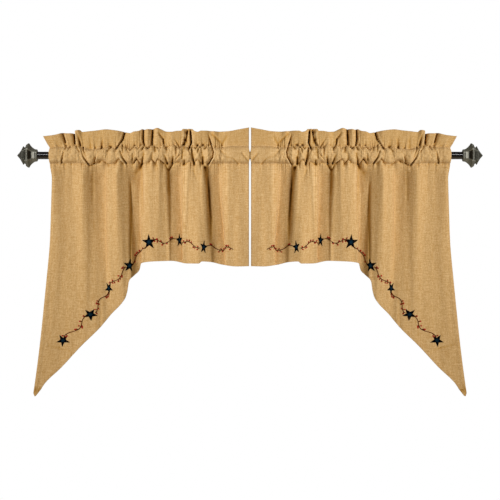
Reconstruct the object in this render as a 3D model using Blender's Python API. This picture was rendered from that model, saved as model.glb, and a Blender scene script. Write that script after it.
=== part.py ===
"""A pair of swag and tail drapes gathered on one straight curtain rod with six-sided finials.

Frame: the origin is on the rod's axis, midway between its ends. +X runs along the rod, -Y faces the room
and +Z is up. Tables and named sizes are in millimetres, and every object is made in metres.

Each drape is one cut length of cloth. Its top is folded to the back and stitched twice, which leaves a
ruffle above a pocket for the rod. Below the pocket the cloth hangs in uneven folds, to a level hem near
the rod's middle and a slanting hem that runs down to the point of the tail.
"""

import math
from collections import namedtuple

import bmesh
import bpy
from mathutils import Vector

MM = 0.001

# Rod and finials
ROD_RADIUS = 12.7
ROD_SIDES = 32
FINIAL_START = 721.0  # from the rod's middle to the finial's collar
FIT_GAP = 0.3  # between the rod's end and the finial
FINIAL_SIDES = 6

# Cloth
CLOTH = 2.0  # thickness of the hanging sheet
HEADING_CLOTH = 3.2  # two layers of cloth, stitched flat to each other
POCKET_INNER = 15.8  # radius of the pocket round the rod
UPPER_STITCH = 27.5  # height of the stitches over the rod
LOWER_STITCH = -28.6  # height of the stitches under the rod
SEAM_DEPTH = 5.0  # from the stitches to where the pocket's two walls part
POCKET_PUFF = 0.5  # how much of the ruffle's stand-out the gathers below it share
STITCH_SHARE = 0.25  # how much of a fold's depth is there already at the lower stitches
STATION_SPACING = 15.0  # between two sections of a drape, along its folds

# Heights at which the folds are given
HEAD_LEVEL = -76.0
MID_LEVEL = -304.0
LOW_LEVEL = -559.0

# How high a row of the sheet lies between the lower stitches (0) and the hem (1)
BODY_ROWS = (0.045, 0.12, 0.25, 0.40, 0.55, 0.70, 0.85, 1.0)

# Where the pocket's wall is bent, as degrees round the rod from the top; the ends are at the stitches
POCKET_ANGLES = (50.0, 90.0, 130.0)

# One row for each crest, flank and valley, from the outer edge to the edge at the rod's middle. x_ is the
# distance from the rod's middle and out_ the distance towards the room, at the three heights above.
Fold = namedtuple("Fold", "x_head x_mid x_low out_head out_mid out_low")
FOLDS = (
    Fold(672, 680, 705, -2, -5, -2),  # outer edge
    Fold(664, 669, 695, 5, -3.5, 0),
    Fold(646, 654, 679, 0, -1.5, -1),
    Fold(624, 631, 655, -5.5, -4.5, -2),
    Fold(605, 609, 630, -6, -6.5, -3),
    Fold(582, 585, 599, 5, -4, -2),
    Fold(566, 566, 572, 13, 1.5, -1),
    Fold(557, 555, 558, 10, 0.5, -1),
    Fold(546, 544, 543, 2, -3.5, -2),
    Fold(532, 533, 526, -8.5, -7, -2),
    Fold(516, 513, 509, -18, -12.5, -4),
    Fold(496, 493, 491, -22, -15.5, -8),
    Fold(484, 480, 464, -3, 8, -14),
    Fold(464, 465, 453, 6, 14, -14),
    Fold(452, 446, 442, 16, 17, -12),
    Fold(439, 436, 431, 11, 16, -12),
    Fold(422, 424, 422, 1, 11, -13),
    Fold(413, 406, 406, -5, 4, -13),
    Fold(407, 392, 392, -8, -22, -27),
    Fold(387, 372, 372, -18, -30, -27),
    Fold(370, 364, 364, -27, -4, 1),
    Fold(357, 355, 355, 5, -6, 3),
    Fold(333, 333, 333, 12, -1, 0),
    Fold(313, 318, 318, 14, -1, 0),
    Fold(296, 285, 285, 10, -9, 4),
    Fold(279, 275, 275, 4, -5, 2),
    Fold(273, 269, 269, -14, -11, 6),
    Fold(260, 259, 259, -19, -16, 8),
    Fold(239, 231, 231, -24, -27, 12),
    Fold(229, 226.5, 226.5, -7, 0, 0),
    Fold(213, 220, 220, 9, 0, 0),
    Fold(197, 193, 193, 7, 10, -5),
    Fold(172, 170, 170, 8, 17, -8),
    Fold(164, 155, 155, 12, 13, -6),
    Fold(149, 145, 145, 5, 9, -4),
    Fold(142, 135, 135, -21, 6, -3),
    Fold(129, 122, 122, -21, -10, 5),
    Fold(108, 86, 86, -26, -28, 12),
    Fold(91, 81, 81, -11, 0, 0),
    Fold(75, 74, 74, 4, 0, 0),
    Fold(36, 36, 36, 1, 4, -2),
    Fold(3.4, 3.4, 3.4, 3, 1, 1),  # inner edge
)

# The sheet's lower edge, from the point of the tail to the rod's middle
HemPoint = namedtuple("HemPoint", "x z")
HEM = (
    HemPoint(738, -800),
    HemPoint(731, -818),
    HemPoint(719, -806),
    HemPoint(695, -772),
    HemPoint(643, -722),
    HemPoint(574, -648),
    HemPoint(511, -586),
    HemPoint(470, -537),
    HemPoint(437, -503),
    HemPoint(423, -481),
    HemPoint(416, -456),
    HemPoint(412, -429),
    HemPoint(397, -409),
    HemPoint(378, -389),
    HemPoint(372, -366),
    HemPoint(303, -359),
    HemPoint(267, -358),
    HemPoint(211, -367),
    HemPoint(174, -367),
    HemPoint(163, -360),
    HemPoint(133, -362),
    HemPoint(94, -371),
    HemPoint(45, -377),
    HemPoint(3.4, -376),
)

# The ruffle over the pocket: the height of its edge and how far it stands out there
Ruffle = namedtuple("Ruffle", "x top out")
RUFFLES = (
    Ruffle(703, 66, 0),  # outer corner
    Ruffle(671, 69, 4),
    Ruffle(637, 77, -4),
    Ruffle(617, 75, 4),
    Ruffle(594, 83, -9),
    Ruffle(575, 84, 6),
    Ruffle(540, 82, 2),
    Ruffle(490, 87, 6),
    Ruffle(462, 85, 5),
    Ruffle(428, 81, -9),
    Ruffle(394, 80, 6),
    Ruffle(364, 89, -9),
    Ruffle(348, 88, 4),
    Ruffle(331, 90, -8),
    Ruffle(316, 92, 5),
    Ruffle(296, 85, -4),
    Ruffle(262, 80, 5),
    Ruffle(235, 84, 2),
    Ruffle(222, 89, -9),
    Ruffle(211, 90, 9),
    Ruffle(200, 89, -7),
    Ruffle(177, 80, 5),
    Ruffle(142, 82, -7),
    Ruffle(116, 80, 6),
    Ruffle(94, 81, -3),
    Ruffle(65, 84, 3),
    Ruffle(3.4, 94, 0),  # inner corner
)

# The finial's outline: distance from the rod's middle, and from the axis to a corner
Turning = namedtuple("Turning", "x corner")
FINIAL = (
    Turning(721.0, 18.8),
    Turning(722.5, 20.5),  # collar
    Turning(729.3, 21.6),
    Turning(736.1, 25.6),  # hollow flare
    Turning(742.9, 32.0),
    Turning(748.6, 40.4),
    Turning(749.6, 42.0),  # flange
    Turning(753.0, 42.0),
    Turning(757.5, 39.0),
    Turning(760.4, 36.4),
    Turning(763.0, 29.5),
    Turning(765.0, 27.5),  # groove
    Turning(768.2, 31.6),  # cap
    Turning(770.4, 31.8),
    Turning(776.9, 19.2),
    Turning(783.7, 9.0),
    Turning(790.0, 0.6),  # point
)


def clear_scene():
    for obj in list(bpy.data.objects):
        bpy.data.objects.remove(obj, do_unlink=True)


def make_material(name, colour, roughness, metallic):
    material = bpy.data.materials.new(name)
    material.use_nodes = True
    shader = material.node_tree.nodes["Principled BSDF"]
    shader.inputs["Base Color"].default_value = (*colour, 1.0)
    shader.inputs["Roughness"].default_value = roughness
    shader.inputs["Metallic"].default_value = metallic
    return material


def lerp(low, high, share):
    return low + (high - low) * share


def ease(share):
    """0 to 1 with a level start and end."""
    share = min(max(share, 0.0), 1.0)
    return share * share * (3.0 - 2.0 * share)


def read_table(rows, column, x):
    """A column's value at distance x, between two rows of a table that runs towards the middle."""
    for outer, inner in zip(rows, rows[1:]):
        if x >= inner.x:
            share = min(max((outer.x - x) / (outer.x - inner.x), 0.0), 1.0)
            return lerp(getattr(outer, column), getattr(inner, column), share)
    return getattr(rows[-1], column)


def fold_point(fold, z):
    """Where one row of the fold table lies at height z: (x, out)."""
    if z >= HEAD_LEVEL:
        rise = max((z - HEAD_LEVEL) / (LOWER_STITCH - HEAD_LEVEL), 0.0)
        return fold.x_head, fold.out_head * lerp(1.0, STITCH_SHARE, min(rise, 1.0) ** 2)
    if z >= MID_LEVEL:
        share = (HEAD_LEVEL - z) / (HEAD_LEVEL - MID_LEVEL)
        return lerp(fold.x_head, fold.x_mid, share), lerp(fold.out_head, fold.out_mid, share)
    share = (MID_LEVEL - z) / (MID_LEVEL - LOW_LEVEL)
    x = lerp(fold.x_mid, fold.x_low, share)
    return x, lerp(fold.out_mid, fold.out_low, min(share, 1.0))


def fold_lengths():
    """Length along the folded sheet from the outer edge to each row of the fold table, at mid height."""
    lengths = [0.0]
    for outer, inner in zip(FOLDS, FOLDS[1:]):
        step = math.hypot(outer.x_mid - inner.x_mid, outer.out_mid - inner.out_mid)
        lengths.append(lengths[-1] + step)
    return lengths


LENGTHS = fold_lengths()


def sheet_point(length, z):
    """(x, out) of the hanging sheet at a length from its outer edge and a height."""
    index = 0
    while index < len(FOLDS) - 2 and length > LENGTHS[index + 1]:
        index += 1
    first = max(index - 1, 0)
    last = min(index + 2, len(FOLDS) - 1)
    points = {row: fold_point(FOLDS[row], z) for row in range(first, last + 1)}
    span = LENGTHS[index + 1] - LENGTHS[index]
    t = (length - LENGTHS[index]) / span
    return tuple(hermite(points, index, axis, span, t) for axis in (0, 1))


def hermite(points, index, axis, span, t):
    """Cubic between two rows of the fold table whose slopes look one row further on each side."""
    slopes = []
    for row in (index, index + 1):
        before = row - 1 if row - 1 in points else row
        after = row + 1 if row + 1 in points else row
        rise = points[after][axis] - points[before][axis]
        slopes.append(rise / (LENGTHS[after] - LENGTHS[before]) * span)
    start = points[index][axis]
    end = points[index + 1][axis]
    return (
        start * (2 * t**3 - 3 * t**2 + 1)
        + slopes[0] * (t**3 - 2 * t**2 + t)
        + end * (3 * t**2 - 2 * t**3)
        + slopes[1] * (t**3 - t**2)
    )


def hem_height(length):
    """Height at which a line down the sheet meets the hem, by halving."""
    high = LOWER_STITCH
    low = min(point.z for point in HEM) - 10.0
    for _ in range(40):
        middle = (high + low) / 2
        if middle > read_table(HEM, "z", sheet_point(length, middle)[0]):
            high = middle
        else:
            low = middle
    return high


def across(length, z):
    """Unit direction square to the sheet in a level section, pointing to the room: (x, out)."""
    step = 2.0
    x_before, out_before = sheet_point(max(length - step, 0.0), z)
    x_after, out_after = sheet_point(min(length + step, LENGTHS[-1]), z)
    run = x_before - x_after
    rise = out_after - out_before
    size = math.hypot(run, rise)
    return rise / size, run / size


def heading_x(x, z):
    """The ruffle flares past the pocket at its outer end."""
    reach = (x - RUFFLES[-1].x) / (FOLDS[0].x_head - RUFFLES[-1].x)
    rise = ease((z - LOWER_STITCH) / (RUFFLES[0].top - LOWER_STITCH))
    return x + (RUFFLES[0].x - FOLDS[0].x_head) * rise * reach**8


def station(length):
    """Corners of one section: an outer loop, and the inner loop of the pocket, as (x, out, z)."""
    x, stitched = sheet_point(length, LOWER_STITCH)
    top = read_table(RUFFLES, "top", x)
    ruffle = read_table(RUFFLES, "out", x)
    half = HEADING_CLOTH / 2

    front = []
    back = []
    for share in (1.0, 0.5, 0.0):
        z = lerp(UPPER_STITCH, top, share)
        out = ruffle * (0.25 + 0.75 * share)
        front.append((heading_x(x, z), out + half, z))
        back.append((heading_x(x, z), out - half, z))

    inner_front = [(x, half / 2, UPPER_STITCH - SEAM_DEPTH)]
    inner_back = [(x, -half / 2, UPPER_STITCH - SEAM_DEPTH)]
    inner = POCKET_INNER + POCKET_PUFF * max(ruffle, 0.0)
    for angle in POCKET_ANGLES:
        sine = math.sin(math.radians(angle))
        cosine = math.cos(math.radians(angle))
        front.append((x, (inner + CLOTH) * sine, (POCKET_INNER + CLOTH) * cosine))
        back.append((x, -(inner + CLOTH) * sine, (POCKET_INNER + CLOTH) * cosine))
        inner_front.append((x, inner * sine, POCKET_INNER * cosine))
        inner_back.append((x, -inner * sine, POCKET_INNER * cosine))
    inner_front.append((x, stitched + half / 2, LOWER_STITCH + SEAM_DEPTH))
    inner_back.append((x, stitched - half / 2, LOWER_STITCH + SEAM_DEPTH))

    front.append((x, stitched + half, LOWER_STITCH))
    back.append((x, stitched - half, LOWER_STITCH))
    hem = hem_height(length)
    for share in BODY_ROWS:
        z = lerp(LOWER_STITCH, hem, share)
        x_sheet, out_sheet = sheet_point(length, z)
        dx, dout = across(length, z)
        front.append((x_sheet + dx * CLOTH / 2, out_sheet + dout * CLOTH / 2, z))
        back.append((x_sheet - dx * CLOTH / 2, out_sheet - dout * CLOTH / 2, z))
    return front, back, inner_front, inner_back


def station_lengths():
    """Where the sections are taken: at each row of the fold table and evenly between two rows."""
    lengths = [0.0]
    for start, end in zip(LENGTHS, LENGTHS[1:]):
        count = max(1, round((end - start) / STATION_SPACING))
        lengths += [lerp(start, end, part / count) for part in range(1, count + 1)]
    return lengths


def make_swag(name, side, material):
    """One drape as one closed solid, open only where the rod goes through. side is -1 left, 1 right."""
    mesh = bmesh.new()
    strips = []
    for length in station_lengths():
        loops = []
        for line in station(length):
            loops.append([mesh.verts.new((side * x * MM, -out * MM, z * MM)) for x, out, z in line])
        strips.append(loops)

    for here, there in zip(strips, strips[1:]):
        for line_here, line_there in zip(here, there):
            for row in range(len(line_here) - 1):
                mesh.faces.new((line_here[row], line_here[row + 1], line_there[row + 1], line_there[row]))
        for row in (0, -1):  # the ruffle's edge and the hem, then the two ends of the pocket's section
            mesh.faces.new((here[0][row], here[1][row], there[1][row], there[0][row]))
            mesh.faces.new((here[2][row], here[3][row], there[3][row], there[2][row]))

    heading_rows = 3
    pocket_rows = len(POCKET_ANGLES) + 2
    for front, back, inner_front, inner_back in (strips[0], strips[-1]):
        for row in range(heading_rows - 1):
            mesh.faces.new((front[row], front[row + 1], back[row + 1], back[row]))
        start = heading_rows - 1
        mesh.faces.new((front[start], inner_front[0], inner_back[0], back[start]))
        for row in range(pocket_rows - 1):
            outer = start + row
            mesh.faces.new((front[outer], front[outer + 1], inner_front[row + 1], inner_front[row]))
            mesh.faces.new((back[outer], back[outer + 1], inner_back[row + 1], inner_back[row]))
        end = start + pocket_rows - 1
        mesh.faces.new((front[end], inner_front[-1], inner_back[-1], back[end]))
        for row in range(end, len(front) - 1):
            mesh.faces.new((front[row], front[row + 1], back[row + 1], back[row]))

    bmesh.ops.recalc_face_normals(mesh, faces=mesh.faces)
    return finish_object(name, mesh, material)


def finish_object(name, mesh, material):
    data = bpy.data.meshes.new(name)
    mesh.to_mesh(data)
    mesh.free()
    data.materials.append(material)
    data.shade_smooth()
    data.set_sharp_from_angle(angle=math.radians(40))
    obj = bpy.data.objects.new(name, data)
    bpy.context.scene.collection.objects.link(obj)
    return obj


def make_rod(material):
    mesh = bmesh.new()
    bmesh.ops.create_cone(
        mesh,
        cap_ends=True,
        segments=ROD_SIDES,
        radius1=ROD_RADIUS * MM,
        radius2=ROD_RADIUS * MM,
        depth=2 * (FINIAL_START - FIT_GAP) * MM,
    )
    rod = finish_object("rod", mesh, material)
    rod.rotation_euler = (0.0, math.radians(90), 0.0)
    return rod


def make_finial(name, side, material):
    """Six-sided casting with two corners straight up and down, skinned over its outline's sections."""
    mesh = bmesh.new()
    rings = []
    for turning in FINIAL:
        ring = []
        for corner in range(FINIAL_SIDES):
            angle = 2 * math.pi * corner / FINIAL_SIDES
            place = Vector((side * turning.x, turning.corner * math.sin(angle), turning.corner * math.cos(angle)))
            ring.append(mesh.verts.new(place * MM))
        rings.append(ring)
    for here, there in zip(rings, rings[1:]):
        for corner in range(FINIAL_SIDES):
            after = (corner + 1) % FINIAL_SIDES
            mesh.faces.new((here[corner], here[after], there[after], there[corner]))
    mesh.faces.new(rings[0])
    mesh.faces.new(rings[-1])
    bmesh.ops.recalc_face_normals(mesh, faces=mesh.faces)
    return finish_object(name, mesh, material)


def main():
    clear_scene()
    burlap = make_material("natural_burlap", (0.58, 0.38, 0.16), 0.95, 0.0)
    burlap_right = make_material("natural_burlap_right", (0.58, 0.38, 0.16), 0.95, 0.0)
    bronze = make_material("dark_bronze_paint", (0.02, 0.015, 0.015), 0.4, 0.6)
    pewter = make_material("antique_pewter", (0.09, 0.09, 0.08), 0.45, 0.8)
    pewter_right = make_material("antique_pewter_right", (0.09, 0.09, 0.08), 0.45, 0.8)

    make_rod(bronze)
    make_finial("left_finial", -1, pewter)
    make_finial("right_finial", 1, pewter_right)
    make_swag("left_swag", -1, burlap)
    make_swag("right_swag", 1, burlap_right)


main()
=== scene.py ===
import math
from collections import namedtuple

import bmesh
import bpy
import numpy as np
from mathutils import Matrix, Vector


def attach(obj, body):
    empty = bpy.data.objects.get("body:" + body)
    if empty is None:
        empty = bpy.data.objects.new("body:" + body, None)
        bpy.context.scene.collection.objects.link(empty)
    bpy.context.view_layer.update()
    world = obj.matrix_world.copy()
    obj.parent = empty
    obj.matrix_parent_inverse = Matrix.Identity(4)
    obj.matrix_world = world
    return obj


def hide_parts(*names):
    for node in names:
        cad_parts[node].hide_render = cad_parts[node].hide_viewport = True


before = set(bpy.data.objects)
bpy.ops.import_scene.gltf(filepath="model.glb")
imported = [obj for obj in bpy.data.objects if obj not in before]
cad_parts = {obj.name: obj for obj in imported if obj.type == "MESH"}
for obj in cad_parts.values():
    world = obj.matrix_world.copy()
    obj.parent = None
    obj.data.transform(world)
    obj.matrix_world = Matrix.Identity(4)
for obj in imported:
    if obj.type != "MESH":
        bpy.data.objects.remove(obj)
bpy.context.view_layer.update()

# A pair of gathered swag and tail drapes on one rod. Each drape is one cut of burlap-weave cotton, turned to
# the back at the top and sewn twice, so that a ruffle stands over the rod pocket. Tables are in millimetres.
# u is the distance from the rod's middle, out the distance towards the room and z the height over the rod's
# axis. s runs along the folded cloth from the outer edge to the edge at the rod's middle.

mm = 0.001
print("frame in place:", ", ".join(sorted(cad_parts)))

swag = {
    "thickness": 1.1,  # a single layer; a turned hem is twice that
    "layerGap": 1.8,  # between the middles of two layers that are sewn together
    "columns": 372,
    "samples": 1600,  # places along the cloth at which its shape is worked out
    "bodyRows": 36,
    "wrinkleLevel": -656.0,  # where the tail is creased across, and its rows stand closer
    "steepestSlant": 2.2,
    "ruffleLevel": 80.0,  # the height at which the ruffle's table is read
    "innerHemEnd": -362.0,  # where the stitches beside the inner hem stop
    "headLevel": -76.0,  # the three heights of the fold table
    "midLevel": -304.0,
    "lowLevel": -559.0,
    "stitchShare": 0.25,  # how much of a fold's depth is there already at the lower stitches
    "pocketDepth": 19.0,
    "pocketFlat": 4.0,  # 2 is a round pocket, more is flatter in front
    "rodClearance": 14.3,  # from the rod's axis to the middle of the cloth
    "backUpper": 27.5,  # the stitch lines on the back of the heading
    "backLower": -28.6,
    "turnUnder": 12.0,
    "hemWidth": 15.0,
    "outerHem": 14.0,
    "innerHem": 27.0,
    "closing": 3.0,  # how far the two pockets push towards each other at the rod's middle
    "tailKick": 7.0,  # how far the tail's point swings out
    "headingRelief": 1.55,  # the creases of the heading are this much deeper than in their tables
    "creaseShadeDepth": 6.0,  # creases this deep get the full painted shade inside
    "tuckReach": 8.0,  # how wide the cloth is around a place that its depth is compared with
}

# one row for each crest, flank and valley, from the outer edge to the edge at the rod's middle. A separate
# program first fitted these numbers to light and shade. Most are still its own; the rest were set by hand.
foldRow = namedtuple("foldRow", "uHead uMid uLow outHead outMid outLow")
folds = (
    foldRow(672, 680, 705, -2, -5, -2),
    foldRow(664, 669, 695, 5, -3.5, 0),
    foldRow(646, 654, 679, 0, -1.5, -1),
    foldRow(624, 631, 655, -5.5, -4.5, -2),
    foldRow(605, 609, 630, -6, -6.5, -3),
    foldRow(582, 585, 599, 5, -4, -2),
    foldRow(566, 566, 572, 13, 1.5, -1),
    foldRow(557, 555, 558, 10, 0.5, -1),
    foldRow(546, 544, 543, 2, -3.5, -2),
    foldRow(532, 533, 526, -8.5, -7, -2),
    foldRow(516, 513, 509, -18, -12.5, -4),
    foldRow(496, 493, 491, -22, -15.5, -8),
    foldRow(484, 480, 464, -3, 8, -14),
    foldRow(464, 465, 453, 6, 14, -14),
    foldRow(452, 446, 442, 16, 17, -12),
    foldRow(439, 436, 431, 11, 16, -12),
    foldRow(422, 424, 422, 1, 11, -13),
    foldRow(413, 406, 406, -5, 4, -13),
    foldRow(407, 392, 392, -8, -22, -27),
    foldRow(387, 372, 372, -18, -30, -27),
    foldRow(370, 364, 364, -27, -4, 1),
    foldRow(357, 355, 355, 5, -6, 3),
    foldRow(333, 333, 333, 12, -1, 0),
    foldRow(313, 318, 318, 14, -1, 0),
    foldRow(296, 285, 285, 10, -9, 4),
    foldRow(279, 275, 275, 4, -5, 2),
    foldRow(273, 269, 269, -14, -11, 6),
    foldRow(260, 259, 259, -19, -16, 8),
    foldRow(239, 231, 231, -24, -27, 12),
    foldRow(229, 226.5, 226.5, -7, 0, 0),
    foldRow(213, 220, 220, 9, 0, 0),
    foldRow(197, 193, 193, 7, 10, -5),
    foldRow(172, 170, 170, 8, 17, -8),
    foldRow(164, 155, 155, 12, 13, -6),
    foldRow(149, 145, 145, 5, 9, -4),
    foldRow(142, 135, 135, -21, 6, -3),
    foldRow(129, 122, 122, -21, -10, 5),
    foldRow(108, 86, 86, -26, -28, 12),
    foldRow(91, 81, 81, -11, 0, 0),
    foldRow(75, 74, 74, 4, 0, 0),
    foldRow(36, 36, 36, 1, 4, -2),
    foldRow(3.4, 3.4, 3.4, 3, 1, 1),
)

# the lower edge, from the point of the tail to the rod's middle
hemRow = namedtuple("hemRow", "u z")
hem = (
    hemRow(738, -800),
    hemRow(731, -818),
    hemRow(719, -806),
    hemRow(695, -772),
    hemRow(643, -722),
    hemRow(574, -648),
    hemRow(511, -586),
    hemRow(470, -537),
    hemRow(437, -503),
    hemRow(423, -481),
    hemRow(416, -456),
    hemRow(412, -429),
    hemRow(397, -409),
    hemRow(378, -389),
    hemRow(372, -366),
    hemRow(303, -359),
    hemRow(267, -358),
    hemRow(211, -367),
    hemRow(174, -367),
    hemRow(163, -360),
    hemRow(133, -362),
    hemRow(94, -371),
    hemRow(45, -377),
    hemRow(3.4, -376),
)

# the ruffle: the height of its top edge and how far it stands out there
ruffleRow = namedtuple("ruffleRow", "u top out")
ruffle = (
    ruffleRow(703, 66, -2),
    ruffleRow(671, 69, 4),
    ruffleRow(653, 73, 3),
    ruffleRow(637, 77, -4),
    ruffleRow(626, 75, 2),
    ruffleRow(612, 75, 4),
    ruffleRow(598, 75, -5),
    ruffleRow(595, 82, 2),
    ruffleRow(584, 86, 7),
    ruffleRow(577, 86, 1),
    ruffleRow(571, 80, -2),
    ruffleRow(545, 82, 3),
    ruffleRow(517, 85, 2),
    ruffleRow(490, 88, 6),
    ruffleRow(452, 84, 7),
    ruffleRow(423, 79, -5),
    ruffleRow(408, 76, -1),
    ruffleRow(394, 81, 5),
    ruffleRow(379, 83, 4),
    ruffleRow(364, 90, -5),
    ruffleRow(357, 87, 4),
    ruffleRow(346, 89, 8),
    ruffleRow(333, 89, -5),
    ruffleRow(315, 93, 6),
    ruffleRow(303, 89, 2),
    ruffleRow(284, 81, -2),
    ruffleRow(268, 80, 4),
    ruffleRow(250, 83, 3),
    ruffleRow(233, 84, 2),
    ruffleRow(228, 90, 3),
    ruffleRow(215, 90, -5),
    ruffleRow(207, 90, 3),
    ruffleRow(197, 90, -5),
    ruffleRow(189, 83, 4),
    ruffleRow(177, 80, 5),
    ruffleRow(166, 84, 4),
    ruffleRow(148, 84, 1),
    ruffleRow(134, 83, -4),
    ruffleRow(122, 82, 4),
    ruffleRow(104, 81, -2),
    ruffleRow(75, 82, 3),
    ruffleRow(41, 88, 2),
    ruffleRow(3.4, 95, 0),
)

# the two stitch lines where they show, and how much further than usual the pocket puffs between them.
# Most rows here and in the crease tables are as a separate program printed them, from hand readings.
gatherRow = namedtuple("gatherRow", "u upper lower puff")
gathers = (
    gatherRow(683, 24, -29, 0),
    gatherRow(660, 29, -27, 2),
    gatherRow(639, 29, -26, -1.5),
    gatherRow(624, 29, -26, 1),
    gatherRow(609, 28, -26, 1.5),
    gatherRow(593, 35, -26, 2),
    gatherRow(575, 28, -28, 0),
    gatherRow(561, 25, -29, -1),
    gatherRow(541, 21, -33, 4),
    gatherRow(520, 23, -26, 0),
    gatherRow(503, 24, -16, 2),
    gatherRow(490, 26, -22, 1),
    gatherRow(479, 28, -31, 0),
    gatherRow(466, 27, -29, 2),
    gatherRow(454, 23, -26, 0),
    gatherRow(445, 28, -14, 1),
    gatherRow(434, 33, -23, -1),
    gatherRow(422, 30, -26, -2),
    gatherRow(405, 21, -27, 1),
    gatherRow(393, 32, -24, -1),
    gatherRow(384, 26, -14, 1),
    gatherRow(369, 34, -30, -2),
    gatherRow(359, 34, -29, -1),
    gatherRow(347, 24, -27, 3),
    gatherRow(333, 35, -16, 0),
    gatherRow(322, 33, -27, -1),
    gatherRow(311, 24, -14, 2),
    gatherRow(292, 36, -26, 1),
    gatherRow(282, 26, -27, -2),
    gatherRow(262, 39, -27, -2),
    gatherRow(242, 25, -22, 2),
    gatherRow(224, 33, -29, -2),
    gatherRow(206, 24, -22, 2),
    gatherRow(192, 29, -30, -3),
    gatherRow(178, 33, -15, 3),
    gatherRow(160, 34, -27, -3),
    gatherRow(143, 31, -27, 4),
    gatherRow(124, 27, -27, 0),
    gatherRow(105, 27, -27, 3),
    gatherRow(94, 29, -27, 0),
    gatherRow(65, 32, -27, 2),
    gatherRow(34, 32, -28, 0),
    gatherRow(3.4, 33, -28, 1),
)

# creases, each a trough along a straight run: its ends, its depth there, its half width and the side of its
# raised lip (1 outer, -1 inner, 0 none). Runs that share an end make one bent crease.
creaseRow = namedtuple("creaseRow", "u1 z1 u2 z2 deep1 deep2 width lip")
ruffleCreases = (
    creaseRow(637, 78, 627, 45, 5, 6, 3.2, -1),
    creaseRow(598, 85, 595, 36, 12, 12, 2.6, -1),
    creaseRow(585, 72, 576, 33, 2, 8, 4.0, 1),
    creaseRow(543, 62, 543, 22, 1.5, 3, 3.5, 0),
    creaseRow(500, 60, 505, 23, 1, 5, 3.0, 0),
    creaseRow(426, 80, 433, 55, 8, 9, 3.0, 1),
    creaseRow(433, 55, 454, 22, 9, 9, 2.6, 1),
    creaseRow(362, 90, 364, 58, 9, 11, 3.0, 1),
    creaseRow(364, 58, 360, 35, 11, 9, 2.6, 1),
    creaseRow(331, 86, 334, 40, 10, 9, 3.0, 1),
    creaseRow(310, 77, 295, 55, 2, 6, 3.4, 1),
    creaseRow(295, 55, 293, 38, 7, 8, 2.8, 1),
    creaseRow(254, 54, 237, 24, 2, 5, 2.8, 1),
    creaseRow(213, 82, 227, 32, 12, 12, 3.4, 1),
    creaseRow(220, 55, 214, 44, 6, 3, 2.6, 0),
    creaseRow(202, 82, 199, 44, 11, 12, 3.0, -1),
    creaseRow(199, 44, 207, 21, 12, 9, 2.6, -1),
    creaseRow(141, 72, 131, 36, 1, 10, 2.8, -1),
    creaseRow(127, 71, 99, 44, 3, 3, 4.5, 0),
    creaseRow(80, 65, 99, 31, 2, 3, 4.0, 0),
)
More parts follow.
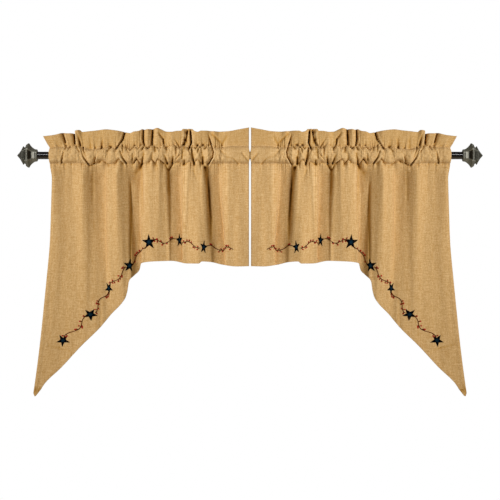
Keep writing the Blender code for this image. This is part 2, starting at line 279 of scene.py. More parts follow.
pocketCreases = (
    creaseRow(623, 32, 625, 20, 6, 3, 2.2, 0),
    creaseRow(609, 30, 615, 18, 7, 3, 2.2, 0),
    creaseRow(631, 11, 636, -10, 4, 8, 2.4, 1),
    creaseRow(636, -10, 640, -25, 8, 11, 2.4, 1),
    creaseRow(590, 33, 577, 11, 6, 5, 2.4, -1),
    creaseRow(605, 21, 611, -1, 2, 1, 3.0, 0),
    creaseRow(567, 27, 555, -5, 7, 3, 2.3, -1),
    creaseRow(572, 17, 562, -10, 3, 6, 2.4, 1),
    creaseRow(562, -10, 548, -30, 7, 12, 2.6, 1),
    creaseRow(548, -30, 537, -32, 10, 6, 2.4, 0),
    creaseRow(537, -32, 524, -23, 6, 7, 2.4, 0),
    creaseRow(522, -6, 526, -20, 6, 8, 2.4, -1),
    creaseRow(504, 30, 506, 22, 7, 5, 2.4, 0),
    creaseRow(512, -23, 501, -16, 4, 3, 2.4, 0),
    creaseRow(501, -16, 478, -32, 3, 5, 2.6, 0),
    creaseRow(470, 29, 482, 14, 7, 4, 2.4, 0),
    creaseRow(482, 14, 484, -6, 4, 1, 2.8, 0),
    creaseRow(434, 35, 430, 10, 7, 5, 2.4, 1),
    creaseRow(421, 30, 412, 9, 5, 3, 2.4, 0),
    creaseRow(439, 13, 433, -7, 5, 8, 2.4, 1),
    creaseRow(433, -7, 420, -27, 8, 13, 2.8, 1),
    creaseRow(456, -28, 445, -13, 4, 4, 2.4, 0),
    creaseRow(445, -13, 435, -23, 4, 2, 2.4, 0),
    creaseRow(391, 33, 404, 17, 8, 4, 2.4, 0),
    creaseRow(396, 5, 399, -16, 3, 7, 2.6, 0),
    creaseRow(384, -11, 395, -26, 7, 7, 2.4, 0),
    creaseRow(384, -11, 369, -33, 4, 4, 2.4, 0),
    creaseRow(369, 36, 379, 21, 6, 4, 2.4, 0),
    creaseRow(362, 27, 366, 18, 11, 7, 2.4, 0),
    creaseRow(360, 7, 367, -29, 4, 13, 3.0, 0),
    creaseRow(360, 35, 346, 23, 4, 9, 2.2, 0),
    creaseRow(346, 23, 332, 36, 9, 5, 2.2, 0),
    creaseRow(323, 34, 321, 12, 8, 6, 2.4, 0),
    creaseRow(331, 7, 332, -14, 3, 5, 2.4, 0),
    creaseRow(332, -14, 314, -38, 5, 4, 2.4, 0),
    creaseRow(312, -12, 291, -27, 4, 6, 2.4, 0),
    creaseRow(290, 34, 280, 16, 7, 4, 2.4, -1),
    creaseRow(290, 1, 280, -28, 4, 13, 2.8, 0),
    creaseRow(260, -3, 264, -26, 5, 14, 3.0, 0),
    creaseRow(251, 27, 249, -1, 6, 4, 2.6, 0),
    creaseRow(238, 1, 254, -18, 5, 3, 2.2, 0),
    creaseRow(254, -28, 242, -22, 4, 3, 2.2, 0),
    creaseRow(242, -22, 233, -31, 3, 4, 2.2, 0),
    creaseRow(225, 27, 230, -11, 7, 4, 2.6, 0),
    creaseRow(221, -16, 226, -30, 9, 13, 2.6, 0),
    creaseRow(237, 24, 227, 34, 6, 9, 2.2, 0),
    creaseRow(207, 21, 205, 10, 9, 4, 2.4, 0),
    creaseRow(215, -24, 199, -27, 3, 3, 2.2, 0),
    creaseRow(198, 25, 195, -1, 9, 14, 2.4, 0),
    creaseRow(195, -1, 189, -31, 14, 14, 2.8, 0),
    creaseRow(194, 34, 184, 22, 4, 8, 2.2, 0),
    creaseRow(184, 22, 175, 36, 8, 8, 2.2, 0),
    creaseRow(175, 22, 176, 9, 9, 5, 2.4, 0),
    creaseRow(184, -15, 169, -18, 5, 4, 2.2, 0),
    creaseRow(171, 26, 154, 37, 7, 5, 2.2, 0),
    creaseRow(154, 37, 153, 21, 4, 7, 2.2, 0),
    creaseRow(153, 21, 139, 36, 7, 5, 2.2, 0),
    creaseRow(165, 22, 161, -5, 3, 5, 2.6, 0),
    creaseRow(160, -7, 160, -28, 11, 14, 3.2, 0),
    creaseRow(128, 28, 123, 10, 6, 7, 2.6, -1),
    creaseRow(123, 10, 126, -7, 7, 8, 2.6, -1),
    creaseRow(126, -7, 140, -28, 9, 11, 2.6, -1),
    creaseRow(91, 30, 96, 21, 7, 3, 2.4, 0),
    creaseRow(100, 18, 80, -4, 3, 3, 3.0, 0),
    creaseRow(80, -4, 53, -13, 2, 4, 2.8, 0),
    creaseRow(53, -13, 39, -28, 4, 4, 2.6, 0),
    creaseRow(26, 6, 6, -18, 3, 4, 3.0, 0),
)
bodyCreases = (
    creaseRow(407, -93, 405, -185, 5, 10, 4.0, 0),
    creaseRow(405, -185, 406, -362, 11, 7, 4.0, 0),
    creaseRow(370, -34, 388, -57, 5, 5, 7.0, 0),
    creaseRow(388, -57, 394, -103, 5, 1, 8.0, 0),
    creaseRow(278, -47, 277, -107, 10, 11, 3.6, 0),
    creaseRow(277, -107, 276, -150, 8.5, 3.2, 4.4, 0),
    creaseRow(276, -150, 275, -280, 3.2, 3, 4.4, 0),
    creaseRow(288, -31, 279, -51, 5, 8, 3.2, 0),
    creaseRow(265, -31, 277, -52, 5, 8, 3.2, 0),
    creaseRow(152, -40, 142, -117, 12, 16, 4.2, 0),
    creaseRow(142, -117, 134, -209, 16, 14, 4.6, 0),
    creaseRow(134, -209, 132, -304, 13, 3, 5.2, 0),
    creaseRow(191, -52, 179, -83, 4, 2, 4.0, 0),
    creaseRow(507, -491, 509, -583, 1.5, 3, 5.0, 0),
    creaseRow(535, -56, 535, -151, 3, 3, 5.0, 0),
    creaseRow(684, -646, 648, -654, 4.5, 5.5, 4.4, 1),
    creaseRow(648, -654, 616, -663, 5.5, 2.0, 4.4, 1),
    creaseRow(736, -786, 712, -796, 2.4, 2.8, 4.0, 0),
)
allCreases = ruffleCreases + pocketCreases + bodyCreases

# how far the outer edge stands out sideways from its line in the fold table, by height
edgeRow = namedtuple("edgeRow", "z shift")
outerEdge = (
    edgeRow(-120, 0),
    edgeRow(-79, 0),
    edgeRow(-28, 7),
    edgeRow(2, 9),
    edgeRow(23, 8),
    edgeRow(40, 17),
    edgeRow(66, 31),
    edgeRow(110, 50),
)


# a smooth curve through a table's rows that never swings past them
def curveThrough(places, values, at):
    places = np.asarray(places, float)
    values = np.asarray(values, float)
    steps = np.diff(places)
    slopes = np.diff(values) / steps
    tangents = np.zeros(len(places))
    tangents[0], tangents[-1] = slopes[0], slopes[-1]
    for i in range(1, len(places) - 1):
        if slopes[i - 1] * slopes[i] > 0:
            before = 2 * steps[i] + steps[i - 1]
            after = steps[i] + 2 * steps[i - 1]
            tangents[i] = (before + after) / (before / slopes[i - 1] + after / slopes[i])
    at = np.clip(at, places[0], places[-1])
    i = np.clip(np.searchsorted(places, at, side="right") - 1, 0, len(steps) - 1)
    t = (at - places[i]) / steps[i]
    return (
        values[i] * (2 * t**3 - 3 * t**2 + 1)
        + tangents[i] * steps[i] * (t**3 - 2 * t**2 + t)
        + values[i + 1] * (3 * t**2 - 2 * t**3)
        + tangents[i + 1] * steps[i] * (t**3 - t**2)
    )


def tableCurve(rows, placeName, valueName, at):
    ordered = sorted(rows, key=lambda row: getattr(row, placeName))
    places = [getattr(row, placeName) for row in ordered]
    values = [getattr(row, valueName) for row in ordered]
    return curveThrough(places, values, at)


def ease(share):
    share = np.clip(share, 0.0, 1.0)
    return share * share * (3.0 - 2.0 * share)


def softPlus(value, reach):
    return 0.5 * (value + np.sqrt(value * value + reach * reach))


def softRamp(value, reach=0.12):
    return softPlus(value, reach) - softPlus(value - 1.0, reach)


def softMax(a, b, reach):
    return b + softPlus(a - b, reach)


def foldLengths():
    lengths = [0.0]
    for outer, inner in zip(folds, folds[1:]):
        lengths.append(lengths[-1] + math.hypot(outer.uMid - inner.uMid, outer.outMid - inner.outMid))
    return np.array(lengths)


foldPlaces = foldLengths()
clothWidth = foldPlaces[-1]


def foldCurve(column, s):
    return curveThrough(foldPlaces, [getattr(row, column) for row in folds], s)


# where the cloth hangs, before creases: the distance from the rod's middle
def clothU(s, z):
    toMid = softRamp((swag["headLevel"] - z) / (swag["headLevel"] - swag["midLevel"]))
    toLow = softPlus((swag["midLevel"] - z) / (swag["midLevel"] - swag["lowLevel"]), 0.12)
    head, mid, low = foldCurve("uHead", s), foldCurve("uMid", s), foldCurve("uLow", s)
    u = head + (mid - head) * toMid + (low - mid) * toLow
    reach = (head - folds[-1].uHead) / (folds[0].uHead - folds[-1].uHead)
    kick = np.clip((swag["lowLevel"] - z) / (swag["midLevel"] - swag["lowLevel"]), 0, None) ** 2
    shift = tableCurve(outerEdge, "z", "shift", z) * reach**8 + swag["tailKick"] * kick * reach**3
    inner = swag["closing"] * np.exp(-(((clothWidth - s) / 8.0) ** 2) - (z / 17.0) ** 4)
    return u + shift - inner


# the folds of the body: how far the cloth stands out
def foldOut(s, z):
    rise = np.clip((z - swag["headLevel"]) / (swag["backLower"] - swag["headLevel"]), 0, 1)
    share = 1.0 + (swag["stitchShare"] - 1.0) * rise**2
    toMid = softRamp((swag["headLevel"] - z) / (swag["headLevel"] - swag["midLevel"]))
    toLow = softRamp((swag["midLevel"] - z) / (swag["midLevel"] - swag["lowLevel"]))
    head, mid, low = foldCurve("outHead", s), foldCurve("outMid", s), foldCurve("outLow", s)
    return (head + (mid - head) * toMid + (low - mid) * toLow) * share


# depth taken away by creases; deep ones win over shallow ones that meet them
def creaseDepth(rows, u, z):
    troughs = np.zeros(np.shape(u))
    lips = np.zeros(np.shape(u))
    for row in rows:
        du, dz = row.u2 - row.u1, row.z2 - row.z1
        length = math.hypot(du, dz)
        t = np.clip(((u - row.u1) * du + (z - row.z1) * dz) / length**2, 0, 1)
        away = np.hypot(u - row.u1 - t * du, z - row.z1 - t * dz)
        depth = row.deep1 + (row.deep2 - row.deep1) * t
        core = np.exp(-((away / row.width) ** 2))
        apron = np.exp(-away / (2.8 * row.width))
        troughs += (depth * (0.74 * core + 0.26 * apron)) ** 4
        if row.lip:
            outwards = 1.0 if dz < 0 else -1.0
            across = ((u - row.u1) * -dz + (z - row.z1) * du) / length * outwards
            ridge = np.exp(-(((across * row.lip - 1.7 * row.width) / row.width) ** 2))
            fade = np.exp(-((np.maximum(away - np.abs(across), 0) / (2.0 * row.width)) ** 2))
            lips = np.maximum(lips, 0.3 * depth * ridge * fade)
    return troughs**0.25 - lips


# small uneven gathers along a stitch line
def pucker(s, seed):
    waves = ((13.1, 0.55), (9.3, 0.35), (21.7, 0.6), (31.0, 0.4))
    total = 0.0
    for number, (length, height) in enumerate(waves):
        total = total + height * np.sin(2 * np.pi * s / length + seed * (number + 1.7) * 2.1)
    return total


# where along the heading the cloth is drawn up: hardly at all beside the inner edge, less at the outer end
def gathered(u):
    return (0.12 + 0.88 * ease((u - 62.0) / 34.0)) * (1.0 - 0.55 * ease((u - 655.0) / 25.0))


# the crumpled surface of the gathered cloth, in small facets with sharp valleys between them
def crumple(s, z):
    total = 0.0
    for length, turn, height, start in ((19.0, 0.35, 0.8, 0.4), (14.0, -0.6, 0.6, 2.1), (24.0, 1.1, 0.7, 4.0),
                                        (11.0, 0.1, 0.45, 5.2), (16.0, -1.2, 0.5, 1.3)):
        along = s * math.cos(turn) + z * math.sin(turn)
        across = z * math.cos(turn) - s * math.sin(turn)
        bent = along + 3.5 * np.sin(across / (0.9 * length) + start * 1.7)
        total = total + height * (np.abs(np.sin(math.pi * bent / length + start)) - 0.6)
    return total


# long faint unevenness of the hanging cloth
def streaks(s, z):
    total = 0.0
    waves = ((47.0, 0.5, 0.05, 0.4), (29.0, 0.25, -0.04, 2.2), (17.0, 0.1, 0.07, 4.1))
    for length, height, drift, turn in waves:
        total = total + height * np.sin(2 * np.pi * (s + drift * z) / length + turn)
    return total


class SwagShape:
    # the sewn and gathered shape, worked out once for every place along the cloth
    def __init__(self):
        s = np.linspace(0, clothWidth, swag["samples"])
        self.s = s
        seamU = clothU(s, swag["backUpper"] + 0 * s)
        lowerU = clothU(s, swag["backLower"] + 0 * s)
        topU = clothU(s, swag["ruffleLevel"] + 0 * s)
        self.upper = tableCurve(gathers, "u", "upper", seamU)
        self.lower = tableCurve(gathers, "u", "lower", lowerU)
        self.puff = tableCurve(gathers, "u", "puff", lowerU)
        self.top = tableCurve(ruffle, "u", "top", topU)
        self.ruffleOut = tableCurve(ruffle, "u", "out", topU)
        self.hem = self.findHem(s)

    def findHem(self, s):
        high = np.full(len(s), -60.0)
        low = np.full(len(s), -840.0)
        for _ in range(40):
            middle = (high + low) / 2
            under = middle > tableCurve(hem, "u", "z", clothU(s, middle))
            high = np.where(under, middle, high)
            low = np.where(under, low, middle)
        return high

    def at(self, name, s):
        return np.interp(s, self.s, getattr(self, name))

    def creases(self, s, z):
        return creaseDepth(allCreases, clothU(s, z), z)

    # how far the front of the cloth stands out, anywhere from the ruffle's top to the hem
    def out(self, s, z, creased=True):
        u = clothU(s, z)
        upper, lower, top = self.at("upper", s), self.at("lower", s), self.at("top", s)
        lifted = ease((lower + 26.0) / 12.0)  # where the body puffs up over the lower stitches
        drawn = gathered(u)
        upperOut = 0.3 * self.at("ruffleOut", s) + 0.9 * pucker(s, 1.0) * drawn
        lowerOut = foldOut(s, lower) + 0.9 * pucker(s, 2.0) + 8.0 * lifted

        rise = np.clip((z - upper) / (top - upper), 0, 1)
        heading = upperOut + (self.at("ruffleOut", s) - upperOut) * rise**0.8
        aboveSeam = np.clip(z - upper, 0, None)
        heading = heading + 2.6 * drawn * pucker(s, 1.0) * np.exp(-aboveSeam / 8.0)
        heading = heading + 0.9 * drawn * crumple(s, z) * np.exp(-aboveSeam / 26.0)

        share = np.clip((z - lower) / (upper - lower), 0, 1)
        bulge = swag["pocketDepth"] + self.at("puff", s)
        bulge = bulge * (1 - np.abs(2 * share - 1) ** swag["pocketFlat"])
        edge = np.abs(2 * share - 1) ** 3
        pocket = bulge + edge * np.where(share > 0.5, upperOut, lowerOut)
        pocket = pocket + drawn * (0.7 * pucker(s, 3.0) + 1.5 * crumple(s, 1.3 * z + 40.0)) * (1 - edge)

        below = np.clip(lower - z, 0, None)
        body = foldOut(s, z) + (lowerOut - foldOut(s, lower)) * np.exp(-below / 16.0)
        body = body + (2.5 + 5.0 * lifted) * (below / 12.0) * np.exp(1 - below / 12.0)
        body = body + 0.8 * drawn * pucker(s, 2.0) * np.exp(-below / 34.0) * ease(below / 6.0)
        body = body + streaks(s, z) * ease(below / 60.0)

        front = np.where(z > upper, heading, np.where(z > lower, pocket, body))
        if creased:
            front = front - self.creases(s, z) * np.where(z > lower, swag["headingRelief"], 1.0)
        around = np.sqrt(np.clip(swag["rodClearance"] ** 2 - z * z, 0, None))
        nearRod = np.abs(z) < swag["rodClearance"]
        return np.where(nearRod, softMax(front, around, 1.2), front)


shape = SwagShape()
print(f"cloth {clothWidth:.0f} mm wide along its folds, tail down to {shape.hem.min():.0f} mm")


# painted shade (above 0) and painted light (below 0) in the cloth's colour, from -1 to 1, where its shape
# alone doesn't show it
shading = {
    "ruffle": 0.19,  # painted shade over the two-layer ruffle
    "pocket": -0.13,  # painted light on the pocket
    "point": 0.55,  # painted shade in the tail's point, where both hems overlap
    "pointFade": -0.2,  # and less so at its very end
    "pointHeight": -783.0,
    "pointEdge": 734.0,
    "endHeight": -792.0,
}


# columns stand closer where there are creases
def clothColumns():
    s = shape.s
    u = clothU(s, 0 * s - 20.0)
    density = np.full(len(s), 1.0)
    for row in allCreases:
        middle = (row.u1 + row.u2) / 2
        spread = 6.0 + abs(row.u1 - row.u2) / 2
        density = np.maximum(density, 1.0 + 1.0 * np.exp(-(((u - middle) / spread) ** 2)))
    total = np.concatenate([[0.0], np.cumsum((density[1:] + density[:-1]) / 2 * np.diff(s))])
    return np.interp(np.linspace(0, total[-1], swag["columns"]), total, s)


# rows of the hanging part, closer together across the wrinkles of the tail
def middleHeights(start, end):
    steps = np.linspace(0, 1, 241)
    shares = np.arange(1, swag["bodyRows"]) / swag["bodyRows"]
    columns = []
    for low, high in zip(start, end):
        z = low + (high - low) * steps
        filled = np.cumsum(1.0 + 4.0 * np.exp(-(((z - swag["wrinkleLevel"]) / 16.0) ** 2)))
        filled = (filled - filled[0]) / (filled[-1] - filled[0])
        columns.append(np.interp(shares, filled, z))
    return list(np.array(columns).T)


# how many times its own width a hem reaches upwards where the lower edge slants
def hemSlant(s, hemZ):
    slope = np.gradient(hemZ, clothU(s, hemZ))
    return np.minimum(np.sqrt(1 + slope**2), swag["steepestSlant"])


# heights of the front rows of every column, from the hem up to the ruffle's top
def frontHeights(s):
    upper, lower, top, hemZ = (shape.at(name, s) for name in ("upper", "lower", "top", "hem"))
    slant = hemSlant(s, hemZ)
    rows = []
    for offset in (0.0, 1.2, 7.0, swag["hemWidth"] - 1.0, swag["hemWidth"] + 0.8, 24.0):
        rows.append(np.minimum(hemZ + offset * slant, lower - 70.0 + offset * 0.2))
    rows.extend(middleHeights(rows[-1], lower - 62.0))
    for drop in np.linspace(62.0, 0.0, 17)[:-1]:
        rows.append(lower - drop)
    rows.append(lower)
    for i in range(1, 27):
        rows.append(lower + (upper - lower) * i / 27)
    rows.append(upper)
    for i in range(1, 21):
        rows.append(upper + (top - upper - 1.0) * i / 20)
    return np.array(rows)


# heights of the rows on the back, from the ruffle's top down to the turned edge
def backHeights(s):
    top = shape.at("top", s)
    rows = []
    for i in range(8):
        rows.append(top - 1.0 + (swag["backUpper"] - top + 1.0) * i / 8)
    for height in np.linspace(swag["backUpper"], swag["backLower"], 15):
        rows.append(height + 0 * s)
    for i in range(1, 4):
        rows.append(swag["backLower"] - swag["turnUnder"] * i / 3 + 0 * s)
    return np.array(rows)


# how far the back layer of the heading stands out
def backOut(s, z):
    front = shape.out(s, z)
    inPocket = (z < swag["backUpper"]) & (z > swag["backLower"])
    share = np.clip(np.abs(z + 0.5) / 28.0, 0, 1)
    bulge = (swag["pocketDepth"] - 3.0 + 0.6 * pucker(s, 5.0)) * (1 - share**1.8)
    mean = front - swag["layerGap"]
    pulled = mean * share**4 - bulge - 1.6 * np.abs(pucker(s, 4.0)) * share**2
    behind = -softMax(-pulled, -mean, 1.0)
    around = np.sqrt(np.clip(swag["rodClearance"] ** 2 - z * z, 0, None))
    behind = np.minimum(behind, -around)
    pocket = np.where(np.abs(z) < swag["rodClearance"], behind, np.minimum(pulled, mean))
    return np.where(inPocket, pocket, mean)


def makeSwag(name, side):
    s = clothColumns()
    frontZ = frontHeights(s)
    backZ = backHeights(s)
    top = shape.at("top", s)
    sFront = np.broadcast_to(s, frontZ.shape)
    sBack = np.broadcast_to(s, backZ.shape)
    frontU, backU = clothU(sFront, frontZ), clothU(sBack, backZ)
    frontOut = shape.out(sFront, frontZ)
    behind = backOut(sBack, backZ)
    topOut = shape.out(s, top) - swag["layerGap"] / 2
    level = np.zeros((1, len(s)))
    drawn = gathered(frontU)
    # painted shade inside the creases, half as strong lower down on the body below the pocket
    creaseShade = np.clip(shape.creases(sFront, frontZ) / swag["creaseShadeDepth"], 0, 1) ** 1.5
    creaseShade = creaseShade * (1 - 0.5 * ease((shape.at("lower", sFront) - 12.0 - frontZ) / 20.0))
    # painted shade in the hollows of the gathers, just above the upper stitches and just below the lower ones
    overSeam = np.exp(-(((frontZ - shape.at("upper", sFront) - 2.5) / 3.2) ** 2))
    underSeam = np.exp(-(((shape.at("lower", sFront) - 3.0 - frontZ) / 4.0) ** 2))
    shade = overSeam * np.clip(-pucker(sFront, 1.0) - 0.25, 0, 0.8)
    shade = shade + 0.6 * underSeam * np.clip(-pucker(sFront, 2.0) - 0.2, 0, 0.8)
    # painted highlight on the raised lips of the creases in and just below the heading
    raised = 0.5 * np.clip(-shape.creases(sFront, frontZ) / 2.5, 0, 1) * (frontZ > -60)
    # painted shade in creases, beside the stitches and in hollows, painted light on ridges, less the painted
    # highlight on lips
    paintedLightAndShade = creaseShade + drawn * shade + 0.3 * tucked(s, frontOut, 1.0) * (1 - creaseShade) - raised
    upper, lower = shape.at("upper", sFront), shape.at("lower", sFront)
    ruffleShade = ease((frontZ - upper - 2.0) / 4.0)
    lightened = ease((frontZ - lower) / 8.0) * ease((upper - frontZ) / 8.0)
    # painted shade over the tail's point below a slanting line, a little less at its very end
    corner = ease((shading["pointHeight"] - 0.5 * (shading["pointEdge"] - frontU) - frontZ) / 5.0)
    corner = corner * (shading["point"] + shading["pointFade"] * ease((shading["endHeight"] - frontZ) / 16.0))
    # then painted shade over the ruffle and in the tail's point, and painted light on the pocket
    paintedLightAndShade = paintedLightAndShade + shading["ruffle"] * ruffleShade + shading["pocket"] * lightened + corner
    paintedLightAndShade = np.clip(paintedLightAndShade, -1, 1)
    return clothMesh(name, side, s, (
        np.vstack([frontU, clothU(s, top)[None], backU]),
        np.vstack([frontOut, topOut[None], behind]),
        np.vstack([frontZ, top[None], backZ]),
        np.vstack([frontZ, top[None], 2 * top[None] - backZ]),
        np.vstack([doubled(s, sFront, frontZ), level, 0 * backZ]),
        # on the back, painted shade in the hollows and painted light on the ridges
        np.vstack([paintedLightAndShade, level, 0.55 * tucked(s, behind, -1.0)]),
    ))


# 1 where a hem is turned and the cloth is double, 0 elsewhere
def doubled(s, sGrid, z):
    fromHem = z - shape.at("hem", sGrid)
    slant = hemSlant(s, shape.at("hem", s))
    lower = (fromHem < (swag["hemWidth"] + 0.1) * slant) & (z < -100)
    sides = (sGrid < swag["outerHem"]) | (sGrid > clothWidth - swag["innerHem"])
    return np.where(lower | (sides & (z < swag["backLower"])), 1.0, 0.0)


# how deep each place lies below the cloth around it in its row: above 0 in a hollow, below 0 on a ridge. It
# sets painted shade in hollows and painted light on ridges
def tucked(s, out, facing):
    near = np.exp(-(((s[:, None] - s[None, :]) / swag["tuckReach"]) ** 2)) * np.gradient(s)[None, :]
    around = out @ (near / near.sum(axis=1, keepdims=True)).T
    return np.clip((around - out) * facing / 5.0, -1.0, 1.0)


def clothMesh(name, side, s, grids):
    u, out, z, down, double, paintedShading = grids
    rows, columns = u.shape
    places = np.stack([side * u, -out, z], axis=-1).reshape(-1, 3) * mm
    index = np.arange(rows * columns).reshape(rows, columns)
    corners = [index[:-1, :-1], index[:-1, 1:], index[1:, 1:], index[1:, :-1]]
    if side > 0:
        corners = corners[::-1]
    faces = np.stack(corners, axis=-1).reshape(-1, 4)
    mesh = bpy.data.meshes.new(name)
    mesh.from_pydata(places.tolist(), [], faces.tolist())
    layer = mesh.uv_layers.new(name="clothUv")
    flat = np.stack([np.broadcast_to(s, u.shape) * side, down], axis=-1).reshape(-1, 2) * mm
    loops = np.empty(len(mesh.loops), dtype=np.int32)
    mesh.loops.foreach_get("vertex_index", loops)
    layer.data.foreach_set("uv", flat[loops].astype(np.float32).ravel())
    setPointValues(mesh, "paintedShading", paintedShading)
    mesh.shade_smooth()
    piece = addObject(name, mesh)
    layers = piece.vertex_groups.new(name="layers")
    for chosen, weight in ((double < 0.5, 0.5), (double > 0.5, 1.0)):
        layers.add(np.flatnonzero(chosen.ravel()).tolist(), weight, "REPLACE")
    thicken = piece.modifiers.new("thicken", "SOLIDIFY")
    thicken.thickness = 2 * swag["thickness"] * mm
    thicken.offset = 0.0
    thicken.vertex_group = "layers"
    thicken.use_rim = True
    return piece


def addObject(name, data):
    obj = bpy.data.objects.new(name, data)
    bpy.context.scene.collection.objects.link(obj)
    return obj


def setPointValues(mesh, name, values):
    attribute = mesh.attributes.new(name, "FLOAT", "POINT")
    attribute.data.foreach_set("value", np.asarray(values, np.float32).ravel())


# the place along the folded cloth that hangs at a distance from the rod's middle
def alongAt(u, z):
    s = np.linspace(0, clothWidth, swag["samples"])
    across = clothU(s, np.full(len(s), float(z)))
    return float(np.interp(u, across[::-1], s[::-1]))


# places on the front of the cloth and the direction that faces away from it there, as (u, -out, z)
def onCloth(s, z, lift=0.0):
    s, z = np.broadcast_arrays(np.asarray(s, float), np.asarray(z, float))
    step = 0.6

    def place(sHere, zHere):
        return np.stack([clothU(sHere, zHere), -shape.out(sHere, zHere), zHere], axis=-1)

    alongS = place(s + step, z) - place(s - step, z)
    alongZ = place(s, z + step) - place(s, z - step)
    facing = np.cross(alongZ, alongS)
    facing = facing / np.linalg.norm(facing, axis=-1, keepdims=True)
    return place(s, z) + facing * np.asarray(lift)[..., None], facing


embroidery = {
    "starWaist": 0.41,  # a star's inner corners, as a share of its reach
    "threadStep": 0.8,
    "threadRadius": 0.45,
    "starRise": 0.9,  # how far the padding stands up in the middle
    "vineWave": 7.0,
    "vineBend": 40.0,  # from one bend of the vine to the next
    "stemStitch": 5.6,
    "stemStep": 2.9,
    "stemRadius": 1.3,
    "berryRadius": 2.8,
    "twig": 6.0,
    "seed": 11,
}

# the stars, from the rod's middle out to the tail: each turned its own way in degrees, with its width as a
# share of its height and the reach from its middle to a point
starRow = namedtuple("starRow", "u z turn wide reach")
stars = (
    starRow(157, -311, -10, 0.54, 24.0),
    starRow(241, -288, 4, 0.48, 24.0),
    starRow(343, -294, 3, 0.95, 26.5),
    starRow(409, -374, -6, 0.98, 24.0),
    starRow(480, -451, 36, 0.8, 23.0),
    starRow(543, -540, -30, 0.92, 21.5),
    starRow(636, -628, 35, 0.87, 22.0),
)
vineStart = starRow(57, -319, 0, 1, 0)


# distance from a star's middle to its outline, in a direction
def starEdge(angle, reach, waist):
    sector = math.radians(36)
    turned = np.abs((np.asarray(angle) + sector) % (2 * sector) - sector)
    return reach * waist * math.sin(sector) / (reach * np.sin(turned) + waist * np.sin(sector - turned))


def starPads(side):
    angles = np.linspace(0, 2 * np.pi, 60, endpoint=False)
    shares = np.array([0.0, 0.2, 0.4, 0.6, 0.8, 0.93, 1.0])[:, None]
    places, faces, tints = [], [], []
    for star in stars:
        middle = alongAt(star.u, star.z)
        reach = star.reach
        edge = starEdge(angles, reach, reach * embroidery["starWaist"])[None, :] * shares
        direction = angles[None, :] + math.radians(90 + star.turn)
        s, z = middle + edge * star.wide * np.cos(direction), star.z + edge * np.sin(direction)
        lift = swag["thickness"] / 2 + 0.1 + embroidery["starRise"] * (1 - shares**2) + 0 * s
        lift[-1] = swag["thickness"] / 2 - 0.3
        points, _ = onCloth(s, z, lift)
        start = sum(len(block) for block in places)
        places.append(points.reshape(-1, 3))
        tints.append(ease(1 - np.hypot(s - middle, z - star.z) / (0.4 * reach)).ravel())
        count = len(angles)
        for ring in range(len(shares) - 1):
            for i in range(count):
                j = (i + 1) % count
                low, high = start + ring * count, start + (ring + 1) * count
                corners = (low + i, low + j, high + j, high + i)
                faces.append(corners if side > 0 else corners[::-1])
    points = np.vstack(places) * (side, 1, 1) * mm
    mesh = bpy.data.meshes.new("starPads")
    mesh.from_pydata(points.tolist(), [], faces)
    setPointValues(mesh, "tint", np.concatenate(tints))
    return mesh


# single stitches as (s, z) of both ends, their lift off the cloth and their tint
def starStitches():
    sector = math.radians(36)
    starts, ends, tints = [], [], []
    for star in stars:
        middle = alongAt(star.u, star.z)
        reach = star.reach
        waist = reach * embroidery["starWaist"]
        waistAlong, waistWide = waist * math.cos(sector), waist * math.sin(sector)
        for arm in range(5):
            axis = math.radians(90 + star.turn + 72 * arm)
            forward = np.array([math.cos(axis), math.sin(axis)])
            aside = np.array([-forward[1], forward[0]])
            for along in np.arange(1.0, reach - 0.6, embroidery["threadStep"]):
                wide = along * math.tan(sector)
                if along > waistAlong:
                    wide = waistWide * (reach - along) / (reach - waistAlong)
                wide = max(wide, 0.5) + 0.15
                base = np.array([middle, star.z])
                starts.append(base + (forward * (along - 0.5) - aside * wide) * (star.wide, 1))
                ends.append(base + (forward * (along + 0.5) + aside * wide) * (star.wide, 1))
                tints.append(float(ease(1 - along / (0.4 * reach))))
    return starts, ends, tints


# the vine winds from its free end to the last star; its berries stand outside each bend on short twigs
def vineStitches():
    random = np.random.default_rng(embroidery["seed"])
    starts, ends, berries = [], [], []
    stops = [vineStart, *stars]
    bend = -1.0
    for here, there in zip(stops, stops[1:]):
        first = np.array([alongAt(here.u, here.z), here.z])
        last = np.array([alongAt(there.u, there.z), there.z])
        run = last - first
        length = np.hypot(*run)
        forward = run / length
        aside = np.array([-forward[1], forward[0]])
        clear = 0.5 * there.reach
        begin = 0.5 * here.reach
        bends = max(2, round(length / embroidery["vineBend"]))

        def route(distance):
            t = distance / length
            wave = math.sin(math.pi * bends * t) * embroidery["vineWave"] * bend
            return first + forward * distance + aside * wave

        for distance in np.arange(begin, length - clear, embroidery["stemStep"]):
            stop = min(distance + embroidery["stemStitch"], length - clear)
            starts.append(route(distance) + aside * 0.35)
            ends.append(route(stop) - aside * 0.35)
        for k in range(bends):
            for _ in range(random.integers(4, 7)):
                distance = length * (k + 0.5) / bends + random.uniform(-0.42, 0.42) * length / bends
                if not begin + 1 < distance < length - clear - 1:
                    continue
                out = math.copysign(1.0, math.sin(math.pi * bends * distance / length)) * bend
                out = out if random.random() < 0.75 else -out
                lean = random.uniform(0.2, 0.9)
                twig = (aside * out + forward * lean) * embroidery["twig"] * random.uniform(0.7, 1.1)
                root = route(distance)
                turned = abs(clothU(root[0] + 3, root[1]) - clothU(root[0] - 3, root[1])) / 6
                if turned < 0.5:
                    continue  # no berries on the steep side of a fold
                starts.append(root)
                ends.append(root + twig)
                berries.append((*(root + twig), random.uniform(0.85, 1.15), random.uniform(0, 1)))
        bend = -bend
    return starts, ends, berries


# running stitches along a line of (s, z) places
def runningStitches(line, length=3.2, gap=1.2):
    line = np.asarray(line)
    steps = np.hypot(*np.diff(line, axis=0).T)
    places = np.concatenate([[0.0], np.cumsum(steps)])
    starts, ends = [], []
    for start in np.arange(1.0, places[-1] - length, length + gap):
        starts.append([np.interp(start, places, line[:, i]) for i in (0, 1)])
        ends.append([np.interp(start + length, places, line[:, i]) for i in (0, 1)])
    return starts, ends


